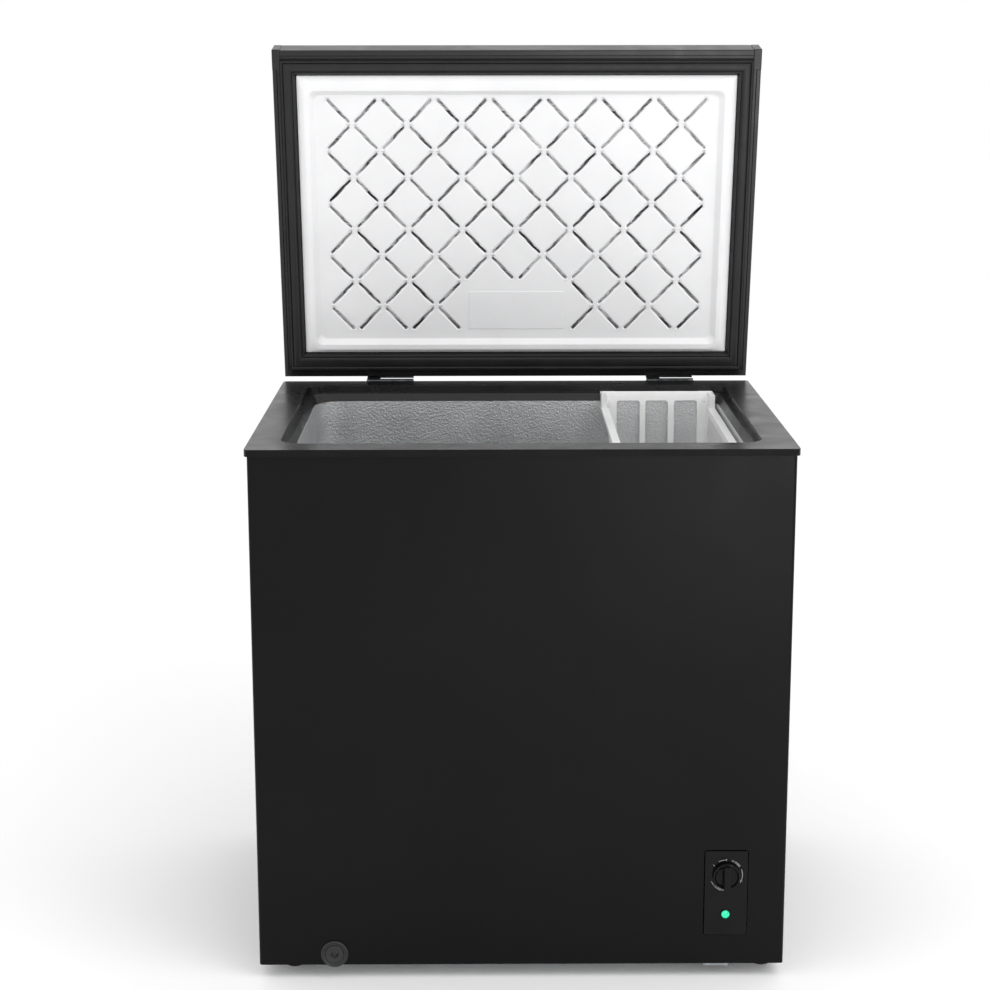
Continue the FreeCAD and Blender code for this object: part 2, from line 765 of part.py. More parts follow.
def thermostat_knob():
    """Round knob with a grip bar across it."""
    body = new_body("thermostat_knob")
    face = "rim_depth/2 - rim_overhang + panel_proud + 0.5"
    skirt = circle(body, "XZ_Plane", "skirt", ("panel_x", "knob_z"), "knob_radius", face)
    pad(body, skirt, "knob_height/2")
    grip = centred(body, "XZ_Plane", "grip", "11", "2*knob_radius - 2.4", ("panel_x", "knob_z"), face)
    pad(body, grip, "knob_height")
    socket = circle(body, "XZ_Plane", "shaft_seat", ("panel_x", "knob_z"), "shaft_radius", face)
    pocket(body, socket, "knob_height - 4", backwards=True)


def lamp_bezel():
    """Ring round the running lamp."""
    front = "-(rim_depth/2 - rim_overhang + panel_proud)"
    place = ("panel_x", f"{front} - 0.02", "lamp_z")
    ring = primitive("Cylinder", "lamp_ring", place, FACING_FRONT, Radius="lamp_radius", Height="1.4")
    neck = primitive("Cylinder", "lamp_neck", ("panel_x", f"{front} + 12", "lamp_z"), FACING_FRONT,
                     Radius="lamp_radius - 1.4", Height="12.6")
    bore = primitive("Cylinder", "lamp_bore", ("panel_x", f"{front} + 14", "lamp_z"), FACING_FRONT,
                     Radius="lamp_radius - 2.4", Height="30")
    as_sub_part(cut("lamp_bezel", fused("lamp_housing", [ring, neck]), bore), "lamp_bezel")


def lamp_lens():
    """Clear coloured lens of the running lamp."""
    front = "-(rim_depth/2 - rim_overhang + panel_proud)"
    place = ("panel_x", f"{front} + 8", "lamp_z")
    lens = primitive("Cylinder", "lens", place, FACING_FRONT, Radius="lamp_radius - 2.45", Height="10.2")
    as_sub_part(lens, "lamp_lens")


def drain_socket():
    """Flange in the front of the shell that the drain plug sits in."""
    front = "-(rim_depth/2 - rim_overhang)"
    ring = primitive("Cylinder", "drain_flange", ("drain_x", front, "drain_z"), FACING_FRONT,
                     Radius="drain_radius", Height="3")
    sleeve = primitive("Cylinder", "drain_sleeve", ("drain_x", f"{front} + 24", "drain_z"), FACING_FRONT,
                       Radius="drain_plug_radius + 0.9", Height="25")
    bore = primitive("Cylinder", "drain_bore", ("drain_x", f"{front} + 30", "drain_z"), FACING_FRONT,
                     Radius="drain_plug_radius + 0.4", Height="60")
    as_sub_part(cut("drain_socket", fused("drain_ring", [ring, sleeve]), bore), "drain_socket")


def drain_plug():
    """Plug with a dimple that is pulled out to let melt water run off."""
    front = "-(rim_depth/2 - rim_overhang)"
    rod = primitive("Cylinder", "drain_rod", ("drain_x", f"{front} + 22", "drain_z"), FACING_FRONT,
                    Radius="drain_plug_radius", Height="26.5")
    dimple = primitive("Cylinder", "drain_dimple", ("drain_x", f"{front} - 3.5", "drain_z"), FACING_FRONT,
                       Radius="drain_dimple", Height="4")
    as_sub_part(cut("drain_plug", rod, dimple), "drain_plug")


def drain_tube():
    """Hose from the tank's floor to the drain socket."""
    x, y = size("plug_x"), size("plug_y")
    out = -(size("rim_depth") / 2 - size("rim_overhang") - 25)
    route = [Vector(x, y, size("tank_bottom") - 12), Vector(x, y, size("drain_z") + 4),
             Vector(size("drain_x"), out, size("drain_z"))]
    bent_tube("drain_tube", route, 14, 7)


def tank_plug():
    """Plug that is lifted out of the tank's floor before defrosting."""
    stem = primitive("Cylinder", "plug_rod", ("plug_x", "plug_y", "tank_bottom - 7"), Radius="plug_stem",
                     Height="8")
    head = primitive("Cylinder", "plug_disc", ("plug_x", "plug_y", "tank_bottom + 0.3"), Radius="plug_head",
                     Height="3")
    grip = primitive("Box", "plug_grip", ("plug_x - 2", "plug_y - 9", "tank_bottom + 3.2"), Length="4",
                     Width="18", Height="8")
    as_sub_part(fused("tank_plug", [stem, head, grip]), "tank_plug")


# ---------------------------------------------------------------- hinges


def knuckle(name, low, high, plate, bore):
    """A hinge leaf's plate with its rolled knuckle, bored for the pin."""
    barrel = primitive("Cylinder", f"{name}_barrel", (low, "hinge_y", "hinge_z"), ALONG_X,
                       Radius="knuckle_radius", Height=f"({high}) - ({low})")
    hole = primitive("Cylinder", f"{name}_bore", (f"{low} - 20", "hinge_y", "hinge_z"), ALONG_X,
                     Radius=bore, Height="hinge_width + 40")
    return as_sub_part(cut(name, fused(f"{name}_leaf", plate + [barrel]), hole), name)


def hinge(side, centre):
    """One hinge: a leaf behind the rim, a leaf behind the lid, and the pin through both."""
    left = f"({centre} - hinge_width/2)"
    split = f"({left} + short_knuckle)"
    right = f"({centre} + hinge_width/2)"
    shell_back = "(rim_depth/2 - rim_overhang + fit_gap)"
    cabinet_name = f"hinge_cabinet_leaf_{side}"
    plate = primitive("Box", f"{cabinet_name}_plate", (left, shell_back, "hinge_z - 66"),
                      Length="hinge_width", Width="hinge_plate", Height="57")
    foot = primitive("Box", f"{cabinet_name}_foot", (f"{split} + 0.4", shell_back, "hinge_z - 11"),
                     Length=f"{right} - {split} - 0.4", Width=f"hinge_y + 2 - {shell_back}",
                     Height="hinge_plate")
    rise = primitive("Box", f"{cabinet_name}_rise", (f"{split} + 0.4", "hinge_y - 2", "hinge_z - 11"),
                     Length=f"{right} - {split} - 0.4", Width="4", Height="8")
    knuckle(cabinet_name, f"{split} + 0.4", right, [plate, foot, rise], "pin_radius + 0.02")
    lid_name = f"hinge_lid_leaf_{side}"
    lid_face = "(lid_back + fit_gap)"
    leaf = primitive("Box", f"{lid_name}_plate", (left, lid_face, "rim_top + lid_gap + 1"),
                     Length="hinge_width", Width="hinge_plate", Height="32")
    neck = primitive("Box", f"{lid_name}_neck", (left, lid_face, "hinge_z"), Length="short_knuckle",
                     Width="hinge_plate", Height="rim_top + lid_gap + 2 - hinge_z")
    knuckle(lid_name, left, split, [leaf, neck], "pin_radius + 0.05")
    pin = primitive("Cylinder", f"hinge_pin_{side}", (f"{left} - 1", "hinge_y", "hinge_z"), ALONG_X,
                    Radius="pin_radius", Height="hinge_width + 2")
    as_sub_part(pin, f"hinge_pin_{side}")


def hinge_screws():
    """Screw heads of the cabinet leaves, and those of the lid leaves."""
    cabinet, lid = [], []
    for centre in ("hinge_left_x", "hinge_right_x"):
        for side in ("-", "+"):
            across = f"{centre} {side} 24"
            behind = "rim_depth/2 - rim_overhang + hinge_plate + 2.3"
            cabinet.append(primitive("Cylinder", f"cabinet_screw_{len(cabinet)}",
                                     (across, behind, "hinge_z - 45"),
                                     FACING_FRONT, Radius="4", Height="2.1"))
            lid.append(primitive("Cylinder", f"lid_screw_{len(lid)}",
                                 (across, "lid_back + hinge_plate + 2.3", "rim_top + lid_gap + 17"),
                                 FACING_FRONT, Radius="4", Height="2.1"))
    solid_group("cabinet_hinge_screws", cabinet)
    solid_group("lid_hinge_screws", lid)


# ---------------------------------------------------------------- lid


LID_MIDDLE = "(lid_back - lid_depth/2)"
LID_UNDER = "rim_top + lid_gap"


def lid_frame():
    """Moulded frame round the lid's edge, its front corners cut away for the caps."""
    body = new_body("lid_frame")
    middle = ("0", LID_MIDDLE)
    pad(body, centred(body, "XY_Plane", "frame_outside", "rim_width", "lid_depth", middle, LID_UNDER),
        "lid_edge_height")
    inside = centred(body, "XY_Plane", "frame_inside", "rim_width - 2*lid_side_wall",
                     "lid_depth - 2*lid_end_wall", middle, LID_UNDER)
    pocket(body, inside, "lid_edge_height", backwards=True)
    for side in ("-", ""):
        corner = centred(body, "XY_Plane", "cap_seat", "2*cap_width", "2*cap_width",
                         (f"{side}rim_width/2", "(lid_back - lid_depth)"), LID_UNDER)
        pocket(body, corner, "lid_edge_height", backwards=True)


def corner_caps():
    """Caps over the lid frame's front corners, standing slightly proud of it."""
    caps = []
    for side, start in (("left", "-rim_width/2"), ("right", "rim_width/2 - cap_width + fit_gap")):
        place = (start, "lid_back - lid_depth - cap_proud", LID_UNDER)
        block = primitive("Box", f"cap_block_{side}", place, Length="cap_width - fit_gap",
                          Width="cap_width + cap_proud - fit_gap", Height="lid_edge_height")
        from_left = "lid_side_wall - rim_width/2"
        from_right = "rim_width/2 - lid_side_wall - cap_width"
        room_x = from_left if side == "left" else from_right
        room = primitive("Box", f"cap_room_{side}",
                         (room_x, "lid_back - lid_depth + lid_end_wall", LID_UNDER),
                         Length="cap_width", Width="cap_width", Height="lid_edge_height")
        caps.append(cut(f"cap_{side}", block, room))
    solid_group("lid_corner_caps", caps)


def lid_cover():
    """Painted pressing over the top of the lid, rounded along its edges."""
    body = new_body("lid_cover")
    middle = ("0", LID_MIDDLE)
    base = f"{LID_UNDER} + lid_edge_height"
    pad(body, centred(body, "XY_Plane", "cover_outside", "rim_width", "lid_depth", middle, base),
        "lid_top_height")
    underside = size("rim_top") + size("lid_gap") + size("lid_edge_height")
    round_edges(body, "lid_rounding", upright)
    round_edges(body, "lid_rounding", level_at(underside + size("lid_top_height")))
    hollow_out(body, "sheet_steel", underside)


def lid_foam():
    """Foam that fills the lid between the cover and the liner."""
    body = new_body("lid_foam")
    middle = ("0", LID_MIDDLE)
    inner_width = "rim_width - 2*lid_side_wall - 4*fit_gap"
    inner_depth = "lid_depth - 2*lid_end_wall - 4*fit_gap"
    behind_liner = "(liner_thickness + 2*fit_gap)"
    core = centred(body, "XY_Plane", "foam_core", inner_width, inner_depth, middle,
                   f"{LID_UNDER} + {behind_liner}")
    pad(body, core, f"lid_edge_height - {behind_liner}")
    crown = centred(body, "XY_Plane", "foam_crown", "rim_width - 2*lid_rounding", "lid_depth - 2*lid_rounding",
                    middle, f"{LID_UNDER} + lid_edge_height")
    pad(body, crown, "lid_top_height - sheet_steel - 2*fit_gap")


def lid_liner():
    """White moulded liner with a raised border round its middle."""
    body = new_body("lid_liner")
    middle = ("0", LID_MIDDLE)
    width = "rim_width - 2*lid_side_wall - 4*fit_gap"
    depth = "lid_depth - 2*lid_end_wall - 4*fit_gap"
    pad(body, centred(body, "XY_Plane", "liner_sheet", width, depth, middle, LID_UNDER), "liner_thickness")
    white_width = "rim_width - 2*lid_side_wall - 2*gasket_width - 2*liner_gap"
    white_depth = "lid_depth - 2*lid_end_wall - 2*gasket_width - 2*liner_gap"
    face = centred(body, "XY_Plane", "liner_face", white_width, white_depth, middle,
                   f"{LID_UNDER} - liner_proud")
    pad(body, face, "liner_proud")
    border_width = f"{white_width} - 2*liner_margin"
    border_depth = f"{white_depth} - 2*liner_margin"
    border_top = f"{LID_UNDER} - liner_border_proud"
    border = centred(body, "XY_Plane", "liner_border", border_width, border_depth, middle, border_top)
    pad(body, border, "liner_border_proud")
    field = centred(body, "XY_Plane", "liner_field", f"{border_width} - 2*liner_border_width",
                    f"{border_depth} - 2*liner_border_width", middle, border_top)
    pocket(body, field, "liner_border_proud - 0.5", backwards=True)


def lid_gasket():
    """Soft seal with mitred corners that closes on the rim."""
    body = new_body("lid_gasket")
    middle = ("0", LID_MIDDLE)
    width = "rim_width - 2*lid_side_wall - 1"
    depth = "lid_depth - 2*lid_end_wall - 1"
    outside = centred(body, "XY_Plane", "gasket_outside", width, depth, middle, "rim_top + 4*fit_gap")
    pad(body, outside, "lid_gap - 6*fit_gap")
    inside = centred(body, "XY_Plane", "gasket_inside", f"{width} - 2*gasket_width",
                     f"{depth} - 2*gasket_width", middle, "rim_top")
    pocket(body, inside, "2*lid_gap", backwards=True)


# ---------------------------------------------------------------- basket


def basket():
    """Hanging basket: an open tub whose end lips rest on the collar's ledge."""
    body = new_body("basket")
    centre = ("(basket_left + basket_right)/2", "0")
    tub = centred(body, "XY_Plane", "tub", "basket_right - basket_left - 2*basket_shoulder", "basket_depth",
                  centre, "basket_bottom")
    pad(body, tub, "basket_top - basket_bottom")
    round_edges(body, "basket_corner", upright)
    hollow_out(body, "basket_wall", size("basket_top"))
    for name, side in (("front_lip", "-"), ("back_lip", "")):
        lip = rectangle(body, "XY_Plane", name, ("basket_left", f"{side}(basket_depth/2 - basket_wall)"),
                        ("basket_right", f"{side}(mouth_depth/2 - 2.5)"), "basket_top - 2.2")
        pad(body, lip, "2.2")


# ---------------------------------------------------------------- placing, checking, writing


LID_PIECES = {"lid_cover", "lid_frame", "lid_corner_caps", "lid_foam", "lid_liner", "lid_gasket",
              "hinge_lid_leaf_left", "hinge_lid_leaf_right", "lid_hinge_screws"}


def place_sub_parts():
    """Open the lid's pieces about the hinge line, and move everything to the final origin."""
    shift = Placement(Vector(0, size("frame_shift"), 0), Rotation())
    hinge_line = Vector(0, size("hinge_y"), size("hinge_z"))
    opened = Placement(Vector(0, 0, 0), Rotation(Vector(1, 0, 0), -size("open_angle")), hinge_line)
    for thing in SUB_PARTS:
        for prop, _ in list(thing.ExpressionEngine):
            if prop.startswith("Placement") or prop.startswith(".Placement"):
                thing.setExpression(prop, None)
        own = thing.Placement
        lift = opened if thing.Label in LID_PIECES else Placement()
        thing.Placement = shift.multiply(lift).multiply(own)


def check_model():
    """Stop if a feature failed or a sub-part's shape isn't a valid solid."""
    for thing in DOC.Objects:
        if "Invalid" in thing.State or "Error" in thing.State:
            raise RuntimeError(f"{thing.Name} failed: {thing.State}")
    for thing in SUB_PARTS:
        if thing.Shape.isNull() or not thing.Shape.isValid() or not thing.Shape.Solids:
            raise RuntimeError(f"{thing.Label} has no valid solid")


def write_steps():
    """Write each sub-part to its own file."""
    os.makedirs("parts", exist_ok=True)
    for thing in SUB_PARTS:
        thing.Shape.exportStep(f"parts/{thing.Label}.step")
        box = thing.Shape.BoundBox
        print(f"{thing.Label}: {len(thing.Shape.Solids)} solid(s), {thing.Shape.Volume / 1000:.1f} cm3, "
              f"x {box.XMin:.1f}..{box.XMax:.1f} y {box.YMin:.1f}..{box.YMax:.1f} "
              f"z {box.ZMin:.1f}..{box.ZMax:.1f}")


def build_freezer():
    """Build every sub-part in turn."""
    fill_sheet()
    for make in (outer_shell, back_panel, bottom_panel, base_plate, feet, rim_frame, inner_tank,
                 foam_insulation, evaporator_coil, condenser_coil, compressor, compressor_mounts,
                 terminal_box, refrigerant_lines, filter_drier, capillary_tube, rear_grille, cord_inlet,
                 grille_screws, control_panel, thermostat, thermostat_capillary, thermostat_shaft,
                 thermostat_knob, lamp_bezel, lamp_lens, drain_socket, drain_plug, drain_tube, tank_plug):
        make()
    hinge("left", "hinge_left_x")
    hinge("right", "hinge_right_x")
    hinge_screws()
    for make in (lid_frame, corner_caps, lid_cover, lid_foam, lid_liner, lid_gasket, basket):
        make()
    DOC.recompute()
    place_sub_parts()
    DOC.recompute()
    check_model()
    write_steps()


build_freezer()
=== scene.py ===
"""The looks of a black chest freezer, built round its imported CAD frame.

Every sub-assembly is a class: its sizes are fields, its methods build meshes and dress them.
Lengths are metres, in the frame of the CAD model: x to the right, y to the back, z up.
"""

import logging
import math
from collections.abc import Callable, Iterator, Sequence
from contextlib import contextmanager
from dataclasses import dataclass, field
from enum import Enum

import bmesh
import bpy
from mathutils import Matrix, Vector


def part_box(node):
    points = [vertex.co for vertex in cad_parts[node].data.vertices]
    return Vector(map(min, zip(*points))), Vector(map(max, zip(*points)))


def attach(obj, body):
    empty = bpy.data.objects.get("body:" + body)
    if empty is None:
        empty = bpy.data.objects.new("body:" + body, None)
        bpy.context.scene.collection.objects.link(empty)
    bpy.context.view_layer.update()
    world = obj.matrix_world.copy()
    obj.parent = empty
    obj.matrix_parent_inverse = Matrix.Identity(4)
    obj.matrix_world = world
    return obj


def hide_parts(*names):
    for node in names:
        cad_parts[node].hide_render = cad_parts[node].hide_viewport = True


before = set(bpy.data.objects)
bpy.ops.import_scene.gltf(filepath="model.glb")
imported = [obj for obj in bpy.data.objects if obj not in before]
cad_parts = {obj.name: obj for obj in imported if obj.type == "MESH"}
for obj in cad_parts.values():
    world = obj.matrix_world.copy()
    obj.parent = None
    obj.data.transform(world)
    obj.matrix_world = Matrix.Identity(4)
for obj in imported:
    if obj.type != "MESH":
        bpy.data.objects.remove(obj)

LOG = logging.getLogger("chest_freezer")
MM = 0.001
APART = 0.1
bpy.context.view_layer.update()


# ---------------------------------------------------------------------------------------------
# Named options
# ---------------------------------------------------------------------------------------------


class Body(Enum):
    """The moving bodies of the frame."""

    CABINET = "cabinet"
    LID = "lid"
    KNOB = "knob"
    DRAIN_PLUG = "drain_plug"
    BASKET = "basket"


class Slot(Enum):
    """The material slots of the record."""

    BLACK_ENAMEL = "black_enamel"
    GALVANISED = "galvanised_steel"
    BLACK_PLASTIC = "black_plastic"
    ALUMINIUM = "embossed_aluminium"
    FOAM = "foam"
    COIL = "coil_aluminium"
    COMPRESSOR = "compressor_paint"
    RUBBER = "rubber"
    COPPER = "copper"
    SCREW = "screw_steel"
    BLACK_GLOSS = "black_gloss"
    LAMP = "lamp_green"
    HINGE = "hinge_steel"
    WHITE = "white_plastic"
    GASKET = "gasket_rubber"


class Axis(Enum):
    """The way a rod points, as the turn that takes it there from upright."""

    X = (0.0, math.pi / 2, 0.0)
    Y = (math.pi / 2, 0.0, 0.0)
    Z = (0.0, 0.0, 0.0)


class Ends(Enum):
    """What closes the two ends of a lofted shape."""

    CAPPED = "capped"
    BOTTOM = "bottom"
    JOINED = "joined"


# ---------------------------------------------------------------------------------------------
# The bench: modelling with Blender's own operators
# ---------------------------------------------------------------------------------------------


@dataclass(frozen=True)
class Ring:
    """One level of a lofted shape: a rectangle with rounded corners, lying flat.

    Args:
        width: its size along x.
        depth: its size along y.
        height: its level along z.
        corner: the radius of its corners, or nought for sharp ones.
        along: its middle along y.
        across: its middle along x.
    """

    width: float
    depth: float
    height: float
    corner: float = 0.0
    along: float = 0.0
    across: float = 0.0


def select_only(*objects: bpy.types.Object) -> None:
    """Selects these objects and nothing else.

    Args:
        objects: the objects, the first of which becomes the active one.
    """
    bpy.ops.object.select_all(action="DESELECT")
    for item in objects:
        item.select_set(True)
    bpy.context.view_layer.objects.active = objects[0]


class Work:
    """One mesh on the bench, shaped step by step and handed over at the end."""

    def __init__(self, item: bpy.types.Object) -> None:
        """Takes a mesh object that already exists."""
        self.item = item

    @classmethod
    def _taken(cls, name: str) -> "Work":
        """Names the primitive that was just added and puts its place into its mesh.

        Args:
            name: the name that it gets.

        Returns:
            The work.
        """
        item = bpy.context.object
        item.name = name
        item.data.name = name
        bpy.ops.object.transform_apply(location=True, rotation=True, scale=True)
        return cls(item)

    @classmethod
    def block(cls, name: str, low: Sequence[float], high: Sequence[float]) -> "Work":
        """Starts from a block between two corners.

        Args:
            name: the piece's name.
            low: the lowest corner.
            high: the highest corner.

        Returns:
            The new work.
        """
        middle = (Vector(low) + Vector(high)) / 2
        size = Vector(high) - Vector(low)
        bpy.ops.object.select_all(action="DESELECT")
        bpy.ops.mesh.primitive_cube_add(size=1, location=middle, scale=size)
        return cls._taken(name)

    @classmethod
    def rod(
        cls,
        name: str,
        middle: Sequence[float],
        radius: float,
        length: float,
        axis: Axis = Axis.Z,
        sides: int = 48,
    ) -> "Work":
        """Starts from a round rod.

        Args:
            name: the piece's name.
            middle: the middle of the rod.
            radius: its radius.
            length: its length.
            axis: the way it points.
            sides: how many flat sides make it round.

        Returns:
            The new work.
        """
        bpy.ops.object.select_all(action="DESELECT")
        bpy.ops.mesh.primitive_cylinder_add(
            vertices=sides, radius=radius, depth=length, location=middle, rotation=axis.value
        )
        return cls._taken(name)

    @classmethod
    def loft(
        cls, name: str, rings: Sequence[Ring], ends: Ends = Ends.CAPPED, segments: int = 8
    ) -> "Work":
        """Bridges a stack of rounded rectangles, one after the other.

        Args:
            name: the piece's name.
            rings: the levels in order.
            ends: what closes the first and last level.
            segments: the number of edges round each corner.

        Returns:
            The new work.
        """
        bpy.ops.object.select_all(action="DESELECT")
        bpy.ops.mesh.primitive_plane_add(size=1)
        work = cls._taken(name)
        with work.shaping("EDGE"):
            bpy.ops.mesh.select_all(action="SELECT")
            bpy.ops.mesh.delete(type="VERT")
            for level, ring in enumerate(rings, start=1):
                # Levels stand well apart while they are bridged, so that no bridge can twist.
                middle = (ring.across, ring.along, APART * level)
                bpy.ops.mesh.primitive_plane_add(size=1, location=middle)
                size = (ring.width, ring.depth, 1)
                bpy.ops.transform.resize(value=size, center_override=middle)
                if ring.corner > 0:
                    bpy.ops.mesh.bevel(offset=ring.corner, segments=segments, affect="VERTICES")
                bpy.ops.mesh.delete(type="ONLY_FACE")
                work._mark(level)
            count = len(rings)
            pairs = [(level, level + 1) for level in range(1, count)]
            if ends is Ends.JOINED:
                pairs.append((count, 1))
            for first, second in pairs:
                work._pick_levels(first, second)
                bpy.ops.mesh.bridge_edge_loops()
            capped = {Ends.CAPPED: (1, count), Ends.BOTTOM: (1,)}.get(ends, ())
            for level in capped:
                work._pick_levels(level, level)
                bpy.ops.mesh.edge_face_add()
            for level, ring in enumerate(rings, start=1):
                work._pick_levels(level, level)
                bpy.ops.transform.translate(value=(0, 0, ring.height - APART * level))
            if ends in (Ends.CAPPED, Ends.JOINED):
                bpy.ops.mesh.select_all(action="SELECT")
                bpy.ops.mesh.normals_make_consistent(inside=False)
        return work

    def _mark(self, level: int) -> None:
        """Writes a level on the points that have none yet.

        Args:
            level: the level.
        """
        mesh = bmesh.from_edit_mesh(self.item.data)
        layer = mesh.verts.layers.int.get("level") or mesh.verts.layers.int.new("level")
        for vert in mesh.verts:
            if vert[layer] == 0:
                vert[layer] = level
        bmesh.update_edit_mesh(self.item.data)

    def _pick_levels(self, first: int, second: int) -> None:
        """Selects the edges that lie in either of two levels.

        Args:
            first: one level.
            second: the other level.
        """
        mesh = bmesh.from_edit_mesh(self.item.data)
        layer = mesh.verts.layers.int.get("level")
        for edge in mesh.edges:
            levels = {vert[layer] for vert in edge.verts}
            edge.select_set(len(levels) == 1 and levels <= {first, second})
        bmesh.update_edit_mesh(self.item.data)

    @contextmanager
    def shaping(self, mode: str = "FACE") -> Iterator[None]:
        """Opens the mesh in edit mode with nothing selected, and closes it again.

        Args:
            mode: what is selected there, FACE, EDGE or VERT.

        Returns:
            Nothing: the mesh is open while the block runs.
        """
        select_only(self.item)
        bpy.ops.object.mode_set(mode="EDIT")
        bpy.ops.mesh.select_mode(type=mode)
        bpy.ops.mesh.select_all(action="DESELECT")
        yield
        bpy.ops.object.mode_set(mode="OBJECT")

    def pick_faces(self, test: Callable[[Vector, Vector], bool]) -> None:
        """Selects faces by place and normal, in edit mode.

        Args:
            test: says yes or no to a face's centre and normal.
        """
        mesh = bmesh.from_edit_mesh(self.item.data)
        mesh.normal_update()
        for face in mesh.faces:
            face.select_set(test(face.calc_center_median(), face.normal))
        bmesh.update_edit_mesh(self.item.data)

    def pick_edges(self, test: Callable[[Vector, Vector], bool]) -> None:
        """Selects edges by their two ends, in edit mode.

        Args:
            test: says yes or no to an edge's two ends.
        """
        mesh = bmesh.from_edit_mesh(self.item.data)
        for edge in mesh.edges:
            edge.select_set(test(edge.verts[0].co, edge.verts[1].co))
        bmesh.update_edit_mesh(self.item.data)

    def pick_open_edges(self) -> None:
        """Selects the edges that have fewer than two faces, in edit mode."""
        mesh = bmesh.from_edit_mesh(self.item.data)
        for edge in mesh.edges:
            edge.select_set(len(edge.link_faces) < 2)
        bmesh.update_edit_mesh(self.item.data)

    def bevel_edges(
        self, test: Callable[[Vector, Vector], bool], width: float, segments: int = 4
    ) -> "Work":
        """Rounds chosen edges.

        Args:
            test: says yes or no to an edge's two ends.
            width: the radius.
            segments: the number of faces round it.

        Returns:
            This work.
        """
        with self.shaping("EDGE"):
            self.pick_edges(test)
            bpy.ops.mesh.bevel(offset=width, segments=segments, affect="EDGES")
        return self

    def _modify(self, kind: str, **settings: object) -> "Work":
        """Adds one modifier with its settings and applies it.

        Args:
            kind: the kind of modifier.
            settings: its settings, by name.

        Returns:
            This work.
        """
        select_only(self.item)
        modifier = self.item.modifiers.new(kind.lower(), kind)
        for key, value in settings.items():
            setattr(modifier, key, value)
        bpy.ops.object.modifier_apply(modifier=modifier.name)
        return self

    def soften(self, width: float, segments: int = 3, angle: float = 35.0) -> "Work":
        """Rounds every sharp edge a little, as moulding and pressing do.

        Args:
            width: the radius.
            segments: the number of faces round it.
            angle: the least turn, in degrees, that counts as sharp.

        Returns:
            This work.
        """
        return self._modify(
            "BEVEL",
            width=width,
            segments=segments,
            limit_method="ANGLE",
            angle_limit=math.radians(angle),
            harden_normals=False,
        )

    def thicken(self, thickness: float, outward: float = -1.0) -> "Work":
        """Gives a skin its wall.

        Args:
            thickness: the wall's thickness.
            outward: -1 for a wall inside the skin and 1 for one outside.

        Returns:
            This work.
        """
        return self._modify(
            "SOLIDIFY", thickness=thickness, offset=outward, use_even_offset=True
        )

    def repeat(self, count: int, step: Sequence[float]) -> "Work":
        """Repeats the mesh in a row.

        Args:
            count: how many there are in all.
            step: the way from one to the next.

        Returns:
            This work.
        """
        return self._modify(
            "ARRAY",
            count=count,
            use_relative_offset=False,
            use_constant_offset=True,
            constant_offset_displace=Vector(step),
        )

    def _boolean(self, operation: str, tools: Sequence["Work"]) -> "Work":
        """Applies a boolean with each tool in turn, and removes the tools.

        Args:
            operation: DIFFERENCE, UNION or INTERSECT.
            tools: the works that act on this one.

        Returns:
            This work.
        """
        for tool in tools:
            self._modify("BOOLEAN", object=tool.item, operation=operation, solver="EXACT")
            bpy.data.objects.remove(tool.item)
        return self

    def cut(self, *tools: "Work") -> "Work":
        """Cuts other works out of this one."""
        return self._boolean("DIFFERENCE", tools)

    def fuse(self, *tools: "Work") -> "Work":
        """Fuses other works into this one."""
        return self._boolean("UNION", tools)

    def trim(self, tool: "Work") -> "Work":
        """Keeps only what lies inside another work."""
        return self._boolean("INTERSECT", [tool])

    def join(self, *others: "Work") -> "Work":
        """Takes other works into this one as they are.

        Args:
            others: the works to take in.

        Returns:
            This work.
        """
        if others:
            select_only(self.item, *(other.item for other in others))
            bpy.ops.object.join()
        return self

    def merge(self, distance: float = 0.00002) -> "Work":
        """Merges points that lie on each other and turns all faces outwards.

        Args:
            distance: how far apart they may be.

        Returns:
            This work.
        """
        with self.shaping("VERT"):
            bpy.ops.mesh.select_all(action="SELECT")
            bpy.ops.mesh.remove_doubles(threshold=distance)
            bpy.ops.mesh.normals_make_consistent(inside=False)
        return self

    def copy(self, offset: Sequence[float], turn: Matrix | None = None) -> "Work":
        """Makes one more of this work, with a mesh of its own.

        Args:
            offset: the way from this one to the copy.
            turn: a turn about the origin, done before the move.

        Returns:
            The copy.
        """
        item = self.item.copy()
        item.data = self.item.data.copy()
        bpy.context.scene.collection.objects.link(item)
        item.data.transform(Matrix.Translation(offset) @ (turn or Matrix.Identity(4)))
        return Work(item)

    def place(self, matrix: Matrix) -> "Work":
        """Moves the mesh from the bench to its place.

        Args:
            matrix: the place.

        Returns:
            This work.
        """
        self.item.matrix_world = matrix
        select_only(self.item)
        bpy.ops.object.transform_apply(location=True, rotation=True, scale=True)
        return self

    def paint(self, finish: bpy.types.Material) -> "Work":
        """Gives the whole mesh one material.

        Args:
            finish: the material.

        Returns:
            This work.
        """
        self.item.data.materials.clear()
        self.item.data.materials.append(finish)
        return self

    def paint_where(
        self, finish: bpy.types.Material, test: Callable[[Vector, Vector], bool]
    ) -> "Work":
        """Gives chosen faces a second material.

        Args:
            finish: the material.
            test: says yes or no to a face's centre and normal.

        Returns:
            This work.
        """
        self.item.data.materials.append(finish)
        last = len(self.item.data.materials) - 1
        for face in self.item.data.polygons:
            if test(face.center, face.normal):
                face.material_index = last
        return self

